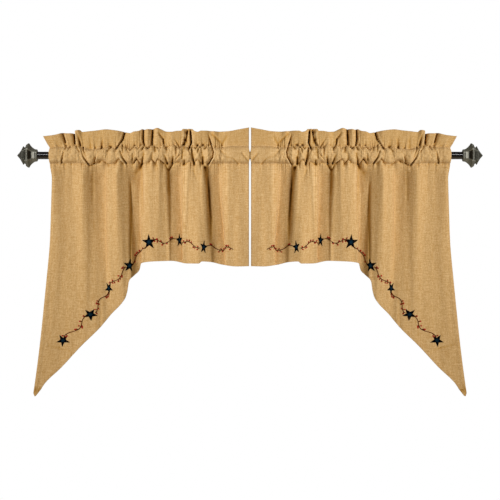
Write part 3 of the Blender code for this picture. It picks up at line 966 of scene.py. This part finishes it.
# the two lines through the heading, the line above the turned hem and the one beside the inner side hem
def seamStitches():
    s = np.linspace(1.5, clothWidth - 1.5, 700)
    hemZ = shape.at("hem", s)
    slant = hemSlant(s, hemZ)
    hemLine = np.stack([s, hemZ + (swag["hemWidth"] - 2.0) * slant], axis=-1)
    lines = [np.stack([s, shape.at(name, s)], axis=-1) for name in ("upper", "lower")]
    lines.append(hemLine[(s > swag["outerHem"] - 3) & (s < clothWidth - 4)])
    inner = clothWidth - swag["innerHem"] + 2.0
    lines.append(np.array([(inner, z) for z in np.linspace(swag["backLower"] - 4, swag["innerHemEnd"], 80)]))
    outer = swag["outerHem"] - 2.0
    end = float(shape.at("hem", outer)) + 20
    lines.append(np.array([(outer, z) for z in np.linspace(swag["backLower"] - 4, end, 160)]))
    starts, ends = [], []
    for line in lines:
        lineStarts, lineEnds = runningStitches(line)
        starts += lineStarts
        ends += lineEnds
    return starts, ends


# a guide for the thread tree: one edge for each stitch
def stitchGuide(name, side, starts, ends, tints, lift):
    both = np.stack([np.array(starts), np.array(ends)], axis=1).reshape(-1, 2)
    points, facing = onCloth(both[:, 0], both[:, 1], np.full(len(both), lift))
    mesh = bpy.data.meshes.new(name)
    edges = np.arange(len(both)).reshape(-1, 2)
    mesh.from_pydata((points * (side, 1, 1) * mm).tolist(), edges.tolist(), [])
    setPointVectors(mesh, "lift", facing * (side, 1, 1))
    setPointValues(mesh, "tint", np.repeat(np.asarray(tints, float), 2))
    guide = addObject(name, mesh)
    return guide


def setPointVectors(mesh, name, values):
    attribute = mesh.attributes.new(name, "FLOAT_VECTOR", "POINT")
    attribute.data.foreach_set("vector", np.asarray(values, np.float32).ravel())


def newTree(name, inputs):
    tree = bpy.data.node_groups.new(name, "GeometryNodeTree")
    tree.is_modifier = True
    tree.interface.new_socket("Guide", in_out="INPUT", socket_type="NodeSocketGeometry")
    for label, kind in inputs:
        tree.interface.new_socket(label, in_out="INPUT", socket_type=kind)
    tree.interface.new_socket("Result", in_out="OUTPUT", socket_type="NodeSocketGeometry")
    return tree, addNode(tree, "NodeGroupInput").outputs


# a thread along every edge of the guide, bowed up off the cloth and thinner where it goes in
def threadTree():
    tree, given = newTree("threadsAlongStitches", (
        ("Thread radius", "NodeSocketFloat"),
        ("Bow", "NodeSocketFloat"),
        ("Points", "NodeSocketInt"),
        ("Sides", "NodeSocketInt"),
        ("Thread", "NodeSocketMaterial"),
    ))
    lift = addNode(tree, "GeometryNodeInputNamedAttribute", {"Name": "lift"}, data_type="FLOAT_VECTOR")
    curves = addNode(tree, "GeometryNodeMeshToCurve", links={"Mesh": given["Guide"]})
    resampled = addNode(tree, "GeometryNodeResampleCurve", links={"Curve": curves.outputs[0],
                                                                  "Count": given["Points"]})
    factor = addNode(tree, "GeometryNodeSplineParameter").outputs["Factor"]
    fromMiddle = addMath(tree, "MULTIPLY_ADD", factor, 2.0, -1.0)
    squared = addMath(tree, "POWER", fromMiddle, 2.0)
    height = addMath(tree, "MULTIPLY", addMath(tree, "SUBTRACT", 1.0, squared), given["Bow"])
    offset = addScaled(tree, lift.outputs[0], height)
    bowed = addNode(tree, "GeometryNodeSetPosition", links={"Geometry": resampled.outputs[0],
                                                            "Offset": offset})
    taper = addMath(tree, "MULTIPLY_ADD", squared, -0.4, 1.0)
    ring = addNode(tree, "GeometryNodeCurvePrimitiveCircle", links={"Resolution": given["Sides"],
                                                                    "Radius": given["Thread radius"]})
    threads = addNode(tree, "GeometryNodeCurveToMesh", {"Fill Caps": True},
                      {"Curve": bowed.outputs[0], "Profile Curve": ring.outputs[0], "Scale": taper})
    smooth = addNode(tree, "GeometryNodeSetShadeSmooth", links={0: threads.outputs[0]})
    real = addNode(tree, "GeometryNodeRealizeInstances", links={0: smooth.outputs[0]})
    final = addNode(tree, "GeometryNodeSetMaterial", links={"Geometry": real.outputs[0],
                                                            "Material": given["Thread"]})
    addNode(tree, "NodeGroupOutput", links={0: final.outputs[0]})
    return tree


# a flattened ball of satin stitches on every point of the guide
def berryTree():
    tree, given = newTree("berriesOnPoints", (
        ("Berry radius", "NodeSocketFloat"),
        ("Flatness", "NodeSocketFloat"),
        ("Thread", "NodeSocketMaterial"),
    ))
    lift = addNode(tree, "GeometryNodeInputNamedAttribute", {"Name": "lift"}, data_type="FLOAT_VECTOR")
    size = addNode(tree, "GeometryNodeInputNamedAttribute", {"Name": "size"}, data_type="FLOAT")
    ball = addNode(tree, "GeometryNodeMeshUVSphere", {"Segments": 8, "Rings": 6},
                   {"Radius": given["Berry radius"]})
    turned = addNode(tree, "FunctionNodeAlignRotationToVector", links={"Vector": lift.outputs[0]}, axis="Z")
    flat = addMath(tree, "MULTIPLY", size.outputs[0], given["Flatness"])
    scale = addNode(tree, "ShaderNodeCombineXYZ", links={0: size.outputs[0], 1: size.outputs[0],
                                                         2: flat})
    placed = addNode(tree, "GeometryNodeInstanceOnPoints",
                     links={"Points": given["Guide"], "Instance": ball.outputs[0],
                            "Rotation": turned.outputs[0], "Scale": scale.outputs[0]})
    real = addNode(tree, "GeometryNodeRealizeInstances", links={0: placed.outputs[0]})
    smooth = addNode(tree, "GeometryNodeSetShadeSmooth", links={0: real.outputs[0]})
    final = addNode(tree, "GeometryNodeSetMaterial", links={"Geometry": smooth.outputs[0],
                                                            "Material": given["Thread"]})
    addNode(tree, "NodeGroupOutput", links={0: final.outputs[0]})
    return tree


# runs a tree on its guide and keeps the result as a plain mesh
def growOn(guide, tree, values):
    modifier = guide.modifiers.new("grow", "NODES")
    modifier.node_group = tree
    for label, value in values.items():
        modifier[tree.interface.items_tree[label].identifier] = value
    bpy.context.view_layer.update()
    seen = bpy.context.evaluated_depsgraph_get()
    grown = guide.evaluated_get(seen)
    mesh = bpy.data.meshes.new_from_object(grown, preserve_all_data_layers=True, depsgraph=seen)
    guide.modifiers.clear()
    guide.data = mesh
    return guide


# one sRGB hex colour as linear values
def fromHex(code, alpha=1.0):
    parts = [int(code[i : i + 2], 16) / 255 for i in (1, 3, 5)]
    linear = [part / 12.92 if part <= 0.04045 else ((part + 0.055) / 1.055) ** 2.4 for part in parts]
    return (*linear, alpha)


def addNode(tree, kind, inputs=None, links=None, **settings):
    node = tree.nodes.new(kind)
    for key, value in settings.items():
        setattr(node, key, value)
    for key, value in (inputs or {}).items():
        node.inputs[key].default_value = value
    for key, source in (links or {}).items():
        tree.links.new(source, node.inputs[key])
    return node


# a number or colour goes on the socket itself, another node's output is linked to it
def feed(tree, node, values):
    for key, value in values.items():
        if isinstance(value, bpy.types.NodeSocket):
            tree.links.new(value, node.inputs[key])
        else:
            node.inputs[key].default_value = value
    return node


def addMath(tree, operation, *values):
    node = addNode(tree, "ShaderNodeMath", operation=operation)
    return feed(tree, node, dict(enumerate(values))).outputs[0]


def addScaled(tree, vector, amount):
    node = addNode(tree, "ShaderNodeVectorMath", operation="SCALE")
    return feed(tree, node, {0: vector, "Scale": amount}).outputs[0]


def addRamp(tree, source, fromMin, fromMax, toMin=0.0, toMax=1.0):
    ends = {"From Min": fromMin, "From Max": fromMax, "To Min": toMin, "To Max": toMax}
    return addNode(tree, "ShaderNodeMapRange", ends, {0: source}).outputs[0]


def addMix(tree, share, first, second):
    node = addNode(tree, "ShaderNodeMix", data_type="RGBA")
    return feed(tree, node, {0: share, 6: first, 7: second}).outputs[2]


def addNoise(tree, place, scale, detail, roughness=0.5):
    kind = {"Scale": scale, "Detail": detail, "Roughness": roughness}
    return addNode(tree, "ShaderNodeTexNoise", kind, {"Vector": place}).outputs["Fac"]


def addBump(tree, height, strength, distance):
    depth = {"Strength": strength, "Distance": distance * mm}
    return addNode(tree, "ShaderNodeBump", depth, {"Height": height}).outputs[0]


# the one shader of a material, straight to its output
def addSurface(tree, values):
    shader = feed(tree, addNode(tree, "ShaderNodeBsdfPrincipled"), values)
    addNode(tree, "ShaderNodeOutputMaterial", links={"Surface": shader.outputs[0]})


def newMaterial(name):
    material = bpy.data.materials.new(name)
    material.use_nodes = True
    material.node_tree.nodes.clear()
    return material, material.node_tree


burlap = {
    "spacing": 2.3,  # the threads are 1.3 mm apart in the cloth, drawn coarser so that they show
    "light": "#EBD09E",
    "base": "#C9A468",
    "gap": "#94703C",  # between the threads
    "glow": "#BD9744",  # at the foot of a fold, where the cloth lights itself
    "crest": "#F6DFB0",  # painted highlight on raised lips and ridges
    # painted shade at its darkest, deep inside creases
    "paintedShading": "#3A1602",
    "bump": 0.5,
    "threadHeight": 0.45,
}


# Natural cotton spun and woven like burlap: matt, hairy threads, lighter in their thick places
def makeBurlap():
    material, tree = newMaterial("naturalBurlapWeave")
    uv = addNode(tree, "ShaderNodeUVMap", uv_map="clothUv").outputs[0]
    count = 1 / (burlap["spacing"] * mm)
    scaled = addNode(tree, "ShaderNodeVectorMath", {1: (count, count, 0)}, {0: uv}, operation="MULTIPLY")
    threads = scaled.outputs[0]
    split = addNode(tree, "ShaderNodeSeparateXYZ", links={0: threads}).outputs
    heights, slubs = [], []
    for along, across, start, stretch in (
        ("X", "Y", 0.0, (0.9, 0.07, 1.0)),
        ("Y", "X", math.pi, (0.07, 0.9, 1.0)),
    ):
        number = addMath(tree, "FLOOR", split[along])
        wave = addMath(tree, "SINE", addMath(tree, "MULTIPLY", split[along], math.pi))
        turn = addMath(tree, "ADD", split[across], number)
        over = addMath(tree, "SINE", addMath(tree, "MULTIPLY_ADD", turn, math.pi, start))
        level = addMath(tree, "MULTIPLY_ADD", over, 0.36, 0.64)
        heights.append(addMath(tree, "MULTIPLY", addMath(tree, "ABSOLUTE", wave), level))
        run = addNode(tree, "ShaderNodeVectorMath", {1: stretch}, {0: threads}, operation="MULTIPLY")
        slubs.append(addNoise(tree, run.outputs[0], 1.0, 2.0, 0.6))
    weave = addMath(tree, "MAXIMUM", *heights)
    thick = addMath(tree, "ADD", *slubs)
    mixed = addMath(tree, "MULTIPLY_ADD", thick, 0.6, addNoise(tree, threads, 0.42, 3.0, 0.8))
    thread = addMix(tree, addRamp(tree, mixed, 0.90, 1.30), fromHex(burlap["base"]), fromHex(burlap["light"]))
    woven = addMix(tree, addRamp(tree, weave, 0.1, 0.62), fromHex(burlap["gap"]), thread)
    # painted shading worked out from the cloth's shape: above 0 a painted bounce glow, then painted shade
    # with less sheen; below 0 a painted highlight
    paintedShading = addNode(tree, "ShaderNodeAttribute", attribute_name="paintedShading").outputs["Fac"]
    glowing = addMix(tree, addRamp(tree, paintedShading, 0.04, 0.4, 0.0, 0.4), woven, fromHex(burlap["glow"]))
    bright = addMix(tree, addRamp(tree, paintedShading, -0.06, -0.45, 0.0, 0.4), glowing, fromHex(burlap["crest"]))
    shut = addRamp(tree, paintedShading, 0.3, 1.0, 1.0, 1.9)
    warmer = addNode(tree, "ShaderNodeGamma", links={"Color": bright, "Gamma": shut}).outputs[0]
    height = addMath(tree, "MULTIPLY_ADD", thick, 0.5, weave)
    addSurface(tree, {
        "Roughness": 0.92,
        "Sheen Roughness": 0.5,
        "Base Color": addMix(tree, addRamp(tree, paintedShading, 0.5, 1.0, 0.0, 0.95), warmer, fromHex(burlap["paintedShading"])),
        "Normal": addBump(tree, height, burlap["bump"], burlap["threadHeight"]),
        "Specular IOR Level": addRamp(tree, paintedShading, 0.3, 0.8, 0.25, 0.0),
        "Sheen Weight": addRamp(tree, paintedShading, 0.3, 0.8, 0.1, 0.0),
    })
    return material


burlapWeave = makeBurlap()
pieces = {}
for name, side in (("left_swag", -1), ("right_swag", 1)):
    piece = makeSwag(name + "_cloth", side)
    piece.data.materials.append(burlapWeave)
    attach(piece, "root")
    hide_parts(name)
    pieces[name] = piece
    print(name, len(piece.data.polygons), "faces")


# Rayon embroidery thread: smooth and silky, so each stitch catches the light along its length
def makeThread(name, code, otherCode, roughness=0.42, sheen=0.1):
    material, tree = newMaterial(name)
    tint = addNode(tree, "ShaderNodeAttribute", attribute_name="tint").outputs["Fac"]
    place = addNode(tree, "ShaderNodeTexCoord").outputs["Object"]
    tone = addRamp(tree, addNoise(tree, place, 1 / (4 * mm), 2.0), 0.3, 0.7, 0.72, 1.2)
    color = addMix(tree, tint, fromHex(code), fromHex(otherCode))
    addSurface(tree, {
        "Roughness": roughness,
        "Sheen Weight": sheen,
        "Specular IOR Level": 0.08,
        "Base Color": addScaled(tree, color, tone),
    })
    return material


starThread = makeThread("navyRayonThread", "#010001", "#0E3348", 0.75, 0.0)
vineThread = makeThread("barkBrownCottonThread", "#421700", "#743806", 0.9, 0.0)
berryThread = makeThread("brickRedRayonThread", "#8E1E18", "#C23E32", 0.6, 0.0)
seamThread = makeThread("tanSewingThread", "#A88350", "#C39E69", 0.75)
threadsTree = threadTree()
berriesTree = berryTree()
onTop = swag["thickness"] / 2


def addPiece(piece, name):
    piece.name = name
    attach(piece, "root")
    return piece


def sewThreads(name, side, starts, ends, tints, lift, radius, bow, points, sides, thread):
    guide = stitchGuide(name, side, starts, ends, tints, lift)
    values = {"Thread radius": radius * mm, "Bow": bow * mm, "Points": points, "Sides": sides}
    return addPiece(growOn(guide, threadsTree, {**values, "Thread": thread}), name)


def makeStars(name, side):
    pads = addObject(name + "_star_pads", starPads(side))
    pads.data.materials.append(starThread)
    pads.data.shade_smooth()
    addPiece(pads, name + "_star_pads")
    starts, ends, tints = starStitches()
    radius, rise = embroidery["threadRadius"], embroidery["starRise"]
    satin = sewThreads(name + "_star_satin", side, starts, ends, tints, onTop + 0.35, radius, rise, 5, 5,
                       starThread)
    return [pads, satin]


def makeVine(name, side):
    starts, ends, berries = vineStitches()
    tints = np.random.default_rng(embroidery["seed"]).uniform(0, 1, len(starts))
    radius = embroidery["stemRadius"]
    vine = sewThreads(name + "_vine", side, starts, ends, tints, onTop + 0.2, radius, 0.7, 4, 5, vineThread)
    berries = np.array(berries)
    points, facing = onCloth(berries[:, 0], berries[:, 1], np.full(len(berries), onTop + 0.3))
    mesh = bpy.data.meshes.new(name + "_berries")
    mesh.from_pydata((points * (side, 1, 1) * mm).tolist(), [], [])
    setPointVectors(mesh, "lift", facing * (side, 1, 1))
    setPointValues(mesh, "size", berries[:, 2])
    setPointValues(mesh, "tint", berries[:, 3])
    guide = addObject(name + "_berries", mesh)
    values = {"Berry radius": embroidery["berryRadius"] * mm, "Flatness": 0.5, "Thread": berryThread}
    return [vine, addPiece(growOn(guide, berriesTree, values), name + "_berries")]


def makeSeams(name, side):
    starts, ends = seamStitches()
    tints = np.random.default_rng(embroidery["seed"]).uniform(0, 1, len(starts))
    lift, radius, bow = onTop + 0.15, 0.35, 0.3
    return [sewThreads(name + "_stitches", side, starts, ends, tints, lift, radius, bow, 4, 5, seamThread)]


sewn = {}
for name, side in (("left_swag", -1), ("right_swag", 1)):
    sewn[name] = makeStars(name, side) + makeVine(name, side) + makeSeams(name, side)
    for piece in sewn[name]:
        print(piece.name, len(piece.data.polygons), "faces")

rod = {
    "radius": 12.7,
    "end": 721.3,
    "sides": 96,
    "ringSpacing": 40.0,
    "edge": 0.8,
}

# outline of a finial's corner edges, from the rod's middle outward: a collar, a hollow flare up to the
# flange, a narrow groove and the pointed cap. Listed from half widths measured every 3.4 mm.
finialRow = namedtuple("finialRow", "x corner")
finialOutline = (
    finialRow(721.3, 18.8),
    finialRow(722.0, 20.2),
    finialRow(724.0, 21.0),
    finialRow(729.3, 21.6),
    finialRow(732.7, 23.3),
    finialRow(736.1, 25.6),
    finialRow(739.5, 28.4),
    finialRow(742.9, 32.0),
    finialRow(746.3, 36.6),
    finialRow(748.6, 40.4),
    finialRow(749.4, 41.9),
    finialRow(753.0, 42.1),
    finialRow(754.0, 41.2),
    finialRow(757.5, 39.0),
    finialRow(760.4, 36.4),
    finialRow(761.4, 33.0),
    finialRow(763.0, 29.5),
    finialRow(765.0, 27.5),
    finialRow(767.0, 29.5),
    finialRow(768.2, 31.6),
    finialRow(770.4, 31.8),
    finialRow(771.2, 30.4),
    finialRow(773.5, 25.6),
    finialRow(776.9, 19.2),
    finialRow(780.3, 13.6),
    finialRow(783.7, 9.0),
    finialRow(787.1, 5.0),
    finialRow(790.4, 0.9),
)
finial = {
    "ring": 1.1,
    "segments": 16,
    "cornerTrim": 0.985,
    "recess": 1.6,  # depth of the windows
    "windowStart": 738.8,
    "windowEnd": 751.2,
    "collar": 728.2,
    "bandStart": 729.8,
    "bandEnd": 738.6,
    "bevelStart": 755.0,  # the flange's slope, as far as the groove
    "bevelEnd": 765.5,
    "rim": 761.8,
    "capStart": 765.0,
}


def finialMesh(side):
    outline = np.array(finialOutline)
    walked = np.concatenate([[0], np.cumsum(np.hypot(*np.diff(outline, axis=0).T))])
    places = np.unique(np.concatenate([walked, np.arange(0, walked[-1], finial["ring"])]))
    x = np.interp(places, walked, outline[:, 0])[:, None]
    corner = np.interp(places, walked, outline[:, 1])[:, None]
    perFacet = finial["segments"]
    count = 6 * perFacet
    angles = (np.arange(count) * 2 * np.pi / count)[None, :]
    local = (angles % (math.pi / 3)) - math.pi / 6
    radius = np.minimum(corner * math.cos(math.pi / 6) / np.cos(local), corner * finial["cornerTrim"])
    across = np.tan(local) / math.tan(math.pi / 6)
    middle = angles - local
    # 1 on the facets that face front and back, 0 on the top and bottom ones; the painted shade and highlight
    # follow it
    facing = np.abs(np.sin(middle)) ** 4
    wide = np.interp(x, (739, 751), (12.5, 18.5))
    sideways = np.abs(across) * corner / 2
    inset = ease((x - finial["windowStart"]) / 1.6) * ease((finial["windowEnd"] - x) / 1.2)
    inset = inset * ease((wide - sideways) / 2.0)
    bevel = ease((x - finial["bevelStart"]) / 1.5) * ease((finial["bevelEnd"] - x) / 1.5) * 0.55
    collar = 0.5 * ease(1 - np.abs(x - finial["collar"]) / 2.2)
    cap = ease((x - finial["capStart"]) / 3.0) * ease((0.93 - np.abs(across)) / 0.1) * 0.35
    band = ease((x - finial["bandStart"]) / 1.2) * ease((finial["bandEnd"] - x) / 1.2)
    band = band * ease((12.5 - sideways) / 3.0)
    edges = ease((np.abs(across) - 0.86) / 0.1) * 0.2
    rims = edges + 0.6 * ease(1 - np.abs(x - finial["rim"]) / 1.6) * (1 - facing)
    radius = radius - finial["recess"] * inset
    points = np.stack([side * x + 0 * angles, radius * np.sin(angles), radius * np.cos(angles)], axis=-1)
    rings = len(places)
    index = np.arange(rings * count).reshape(rings, count)
    following = np.roll(index, -1, axis=1)
    corners = [index[:-1], following[:-1], following[1:], index[1:]]
    ends = [index[0].tolist(), index[-1].tolist()[::-1]]
    if side > 0:
        corners = corners[::-1]
        ends = [face[::-1] for face in ends]
    faces = np.stack(corners, axis=-1).reshape(-1, 4).tolist() + ends
    mesh = bpy.data.meshes.new("finial")
    mesh.from_pydata((points.reshape(-1, 3) * mm).tolist(), [], faces)
    # patina and painted shade: the facets that face front and back darker, darkest in their windows, on the
    # flange's slope and by the collar; the cap darker all round
    setPointValues(mesh, "patinaAndShade", np.clip((0.7 * inset + bevel + collar + 0.25) * facing + cap, 0, 1))
    # wear and painted highlight: a painted highlight across the flare on the front and back facets, painted
    # glints at the groove on the other facets and corner edges worn lighter
    setPointValues(mesh, "wearAndHighlight", np.clip(band * facing + rims, 0, 1))
    mesh.shade_smooth()
    mesh.set_sharp_from_angle(angle=math.radians(24))
    return mesh


def rodMesh():
    last = rod["end"] - rod["edge"]
    inner = np.linspace(-last, last, round(2 * rod["end"] / rod["ringSpacing"]))
    x = np.concatenate([[-rod["end"]], inner, [rod["end"]]])[:, None]
    radius = np.full(len(x), rod["radius"])[:, None]
    radius[[0, -1]] -= rod["edge"]
    angles = (np.arange(rod["sides"]) * 2 * np.pi / rod["sides"])[None, :]
    points = np.stack([x + 0 * angles, radius * np.sin(angles), radius * np.cos(angles)], axis=-1)
    index = np.arange(points.shape[0] * points.shape[1]).reshape(points.shape[:2])
    following = np.roll(index, -1, axis=1)
    corners = np.stack([index[1:], following[1:], following[:-1], index[:-1]], axis=-1)
    faces = corners.reshape(-1, 4).tolist() + [index[0].tolist()[::-1], index[-1].tolist()]
    mesh = bpy.data.meshes.new("rodBar")
    mesh.from_pydata((points.reshape(-1, 3) * mm).tolist(), [], faces)
    mesh.shade_smooth()
    mesh.set_sharp_from_angle(angle=math.radians(30))
    return mesh


# Oil-rubbed bronze paint: nearly black and half glossy, with a faint uneven coat
def makeBronze():
    material, tree = newMaterial("oilRubbedBronzePaint")
    place = addNode(tree, "ShaderNodeTexCoord").outputs["Object"]
    coat = addNoise(tree, place, 1 / (9 * mm), 3.0)
    addSurface(tree, {
        "Base Color": fromHex("#0E0705"),
        "Specular IOR Level": 1.0,
        "Roughness": addRamp(tree, coat, 0.3, 0.7, 0.17, 0.22),
        "Normal": addBump(tree, coat, 0.05, 0.05),
    })
    return material


# Antique pewter: dark cast metal with a darker cap; patina and painted shade on the facets that face front
# and back, darkest in their windows; a painted highlight on the flare, painted glints at the groove and
# corner edges worn lighter
def makePewter():
    material, tree = newMaterial("antiquePewter")
    place = addNode(tree, "ShaderNodeTexCoord").outputs["Object"]
    cast = addNoise(tree, place, 1 / (5 * mm), 4.0)
    tone = addRamp(tree, cast, 0.3, 0.7, 0.85, 1.15)
    patinaAndShade = addNode(tree, "ShaderNodeAttribute", attribute_name="patinaAndShade").outputs["Fac"]
    wearAndHighlight = addNode(tree, "ShaderNodeAttribute", attribute_name="wearAndHighlight").outputs["Fac"]
    # patina and painted shade darken the metal's colour, wear and the painted highlight lighten it
    dark = addMix(tree, patinaAndShade, fromHex("#7C7F76"), fromHex("#14120B"))
    lightened = addMix(tree, wearAndHighlight, dark, fromHex("#D6DBD4"))
    addSurface(tree, {
        "Roughness": 0.42,
        "Metallic": 0.45,
        "Base Color": addScaled(tree, lightened, tone),
        "Normal": addBump(tree, cast, 0.3, 0.2),
    })
    return material


def putMetal(name, mesh, material):
    piece = addObject(name, mesh)
    mesh.materials.append(material)
    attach(piece, "root")
    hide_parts(name)
    return piece


metal = {"rod": putMetal("rod", rodMesh(), makeBronze())}
pewter = makePewter()
for name, side in (("left_finial", -1), ("right_finial", 1)):
    metal[name] = putMetal(name, finialMesh(side), pewter)
for name, piece in metal.items():
    print(name, len(piece.data.polygons), "faces")

studio = {
    "cameraDistance": 4.01,
    "cameraHeight": -0.321,
    "lens": 85.0,
    "keyAway": 2.6,
    "keyTurn": 31.0,  # degrees to the drape's outer side
    "keyRise": 8.0,
    "keySize": 2.4,
    "keySpread": 60.0,  # a soft box whose light fades towards the tails
    "keyPower": 14.6,
    "ambient": 0.30,
    "glossFill": 0.07,
    "frontWidth": 3.2,
    "frontHeight": 0.35,
    "frontRise": 26.0,
    "frontPower": 60.0,
    "backPower": 85.0,
    "floorHeight": -2.0,
    "floorRadius": 3.2,
}


def makeCamera():
    data = bpy.data.cameras.new("camera")
    data.lens = studio["lens"]
    data.sensor_width = 36.0
    camera = addObject("camera", data)
    camera.location = (0.0, -studio["cameraDistance"], studio["cameraHeight"])
    camera.rotation_euler = (math.radians(90), 0.0, 0.0)
    bpy.context.scene.camera = camera


# an area light that reaches only the objects given to it
def addLight(name, lit, **settings):
    data = bpy.data.lights.new(name, "AREA")
    for key, value in settings.items():
        setattr(data, key, value)
    light = addObject(name, data)
    reached = bpy.data.collections.new(name + "Lights")
    for obj in lit:
        reached.objects.link(obj)
    light.light_linking.receiver_collection = reached
    return light


def aimLight(light, place, target):
    light.location = place
    light.rotation_euler = (Vector(target) - light.location).to_track_quat("-Z", "Y").to_euler()


# a large soft box on a drape's outer side; each drape has its own, which doesn't reach the other
def makeKey(name, side, lit):
    spread = math.radians(studio["keySpread"])
    light = addLight(name, lit, shape="DISK", size=studio["keySize"], spread=spread,
                     color=fromHex("#FFF6F0")[:3], energy=studio["keyPower"])
    turn, rise = math.radians(studio["keyTurn"]), math.radians(studio["keyRise"])
    middle = np.array([side * 0.36, 0.0, -0.2])
    level = math.cos(rise)
    away = np.array([side * math.sin(turn) * level, -math.cos(turn) * level, math.sin(rise)])
    aimLight(light, middle + away * studio["keyAway"], (side * -0.18, 0.0, -0.08))


# a strip light above the camera that puts the narrow highlight along the rod
def makeFront(lit):
    light = addLight("front", lit, shape="RECTANGLE", size=studio["frontWidth"], size_y=studio["frontHeight"],
                     energy=studio["frontPower"])
    rise = math.radians(studio["frontRise"])
    light.location = (0.0, -4.0 * math.cos(rise), 4.0 * math.sin(rise))
    light.rotation_euler = (math.radians(90) - rise, 0.0, 0.0)


# a soft light behind for the backs of the drapes and the floor; the cloth keeps it off the front
def makeBack(lit):
    light = addLight("back", lit, shape="DISK", size=studio["keySize"], energy=studio["backPower"])
    aimLight(light, (0.0, 3.2, 1.4), (0, 0, -0.5))


# white to the camera, a warm fill on the cloth as light bounced between its folds, a dim neutral one in gloss
def makeWorld():
    world = bpy.data.worlds.new("studio")
    bpy.context.scene.world = world
    world.use_nodes = True
    tree = world.node_tree
    tree.nodes.clear()
    path = addNode(tree, "ShaderNodeLightPath")
    kinds = (("#FFFFFF", 1.0), ("#F2D6A6", studio["ambient"]), ("#F4F4F2", studio["glossFill"]))
    white, warm, dim = (
        addNode(tree, "ShaderNodeBackground", {"Color": fromHex(code), "Strength": strength})
        for code, strength in kinds
    )
    lit = addNode(tree, "ShaderNodeMixShader", links={0: path.outputs["Is Diffuse Ray"], 1: dim.outputs[0],
                                                      2: warm.outputs[0]})
    seen = addNode(tree, "ShaderNodeMixShader", links={0: path.outputs["Is Camera Ray"], 1: lit.outputs[0],
                                                       2: white.outputs[0]})
    addNode(tree, "ShaderNodeOutputWorld", links={"Surface": seen.outputs[0]})


# Pale matt floor paint
def makeFloorPaint():
    material, tree = newMaterial("palePaintedFloor")
    addSurface(tree, {"Base Color": fromHex("#ECEAE6"), "Roughness": 0.85})
    return material


def makeFloor():
    mesh = bpy.data.meshes.new("floor")
    disc = bmesh.new()
    bmesh.ops.create_circle(disc, cap_ends=True, segments=96, radius=studio["floorRadius"])
    disc.to_mesh(mesh)
    disc.free()
    floor = addObject("floor", mesh)
    floor.location = (0.0, 0.0, studio["floorHeight"])
    floor.data.materials.append(makeFloorPaint())
    return floor


makeCamera()
makeWorld()
makeFront(list(metal.values()))
makeBack([makeFloor(), *pieces.values(), *sewn["left_swag"], *sewn["right_swag"]])
makeKey("keyLeft", -1, [pieces["left_swag"], *sewn["left_swag"], metal["left_finial"]])
makeKey("keyRight", 1, [pieces["right_swag"], *sewn["right_swag"], metal["right_finial"]])
bpy.context.scene.view_settings.view_transform = "Standard"
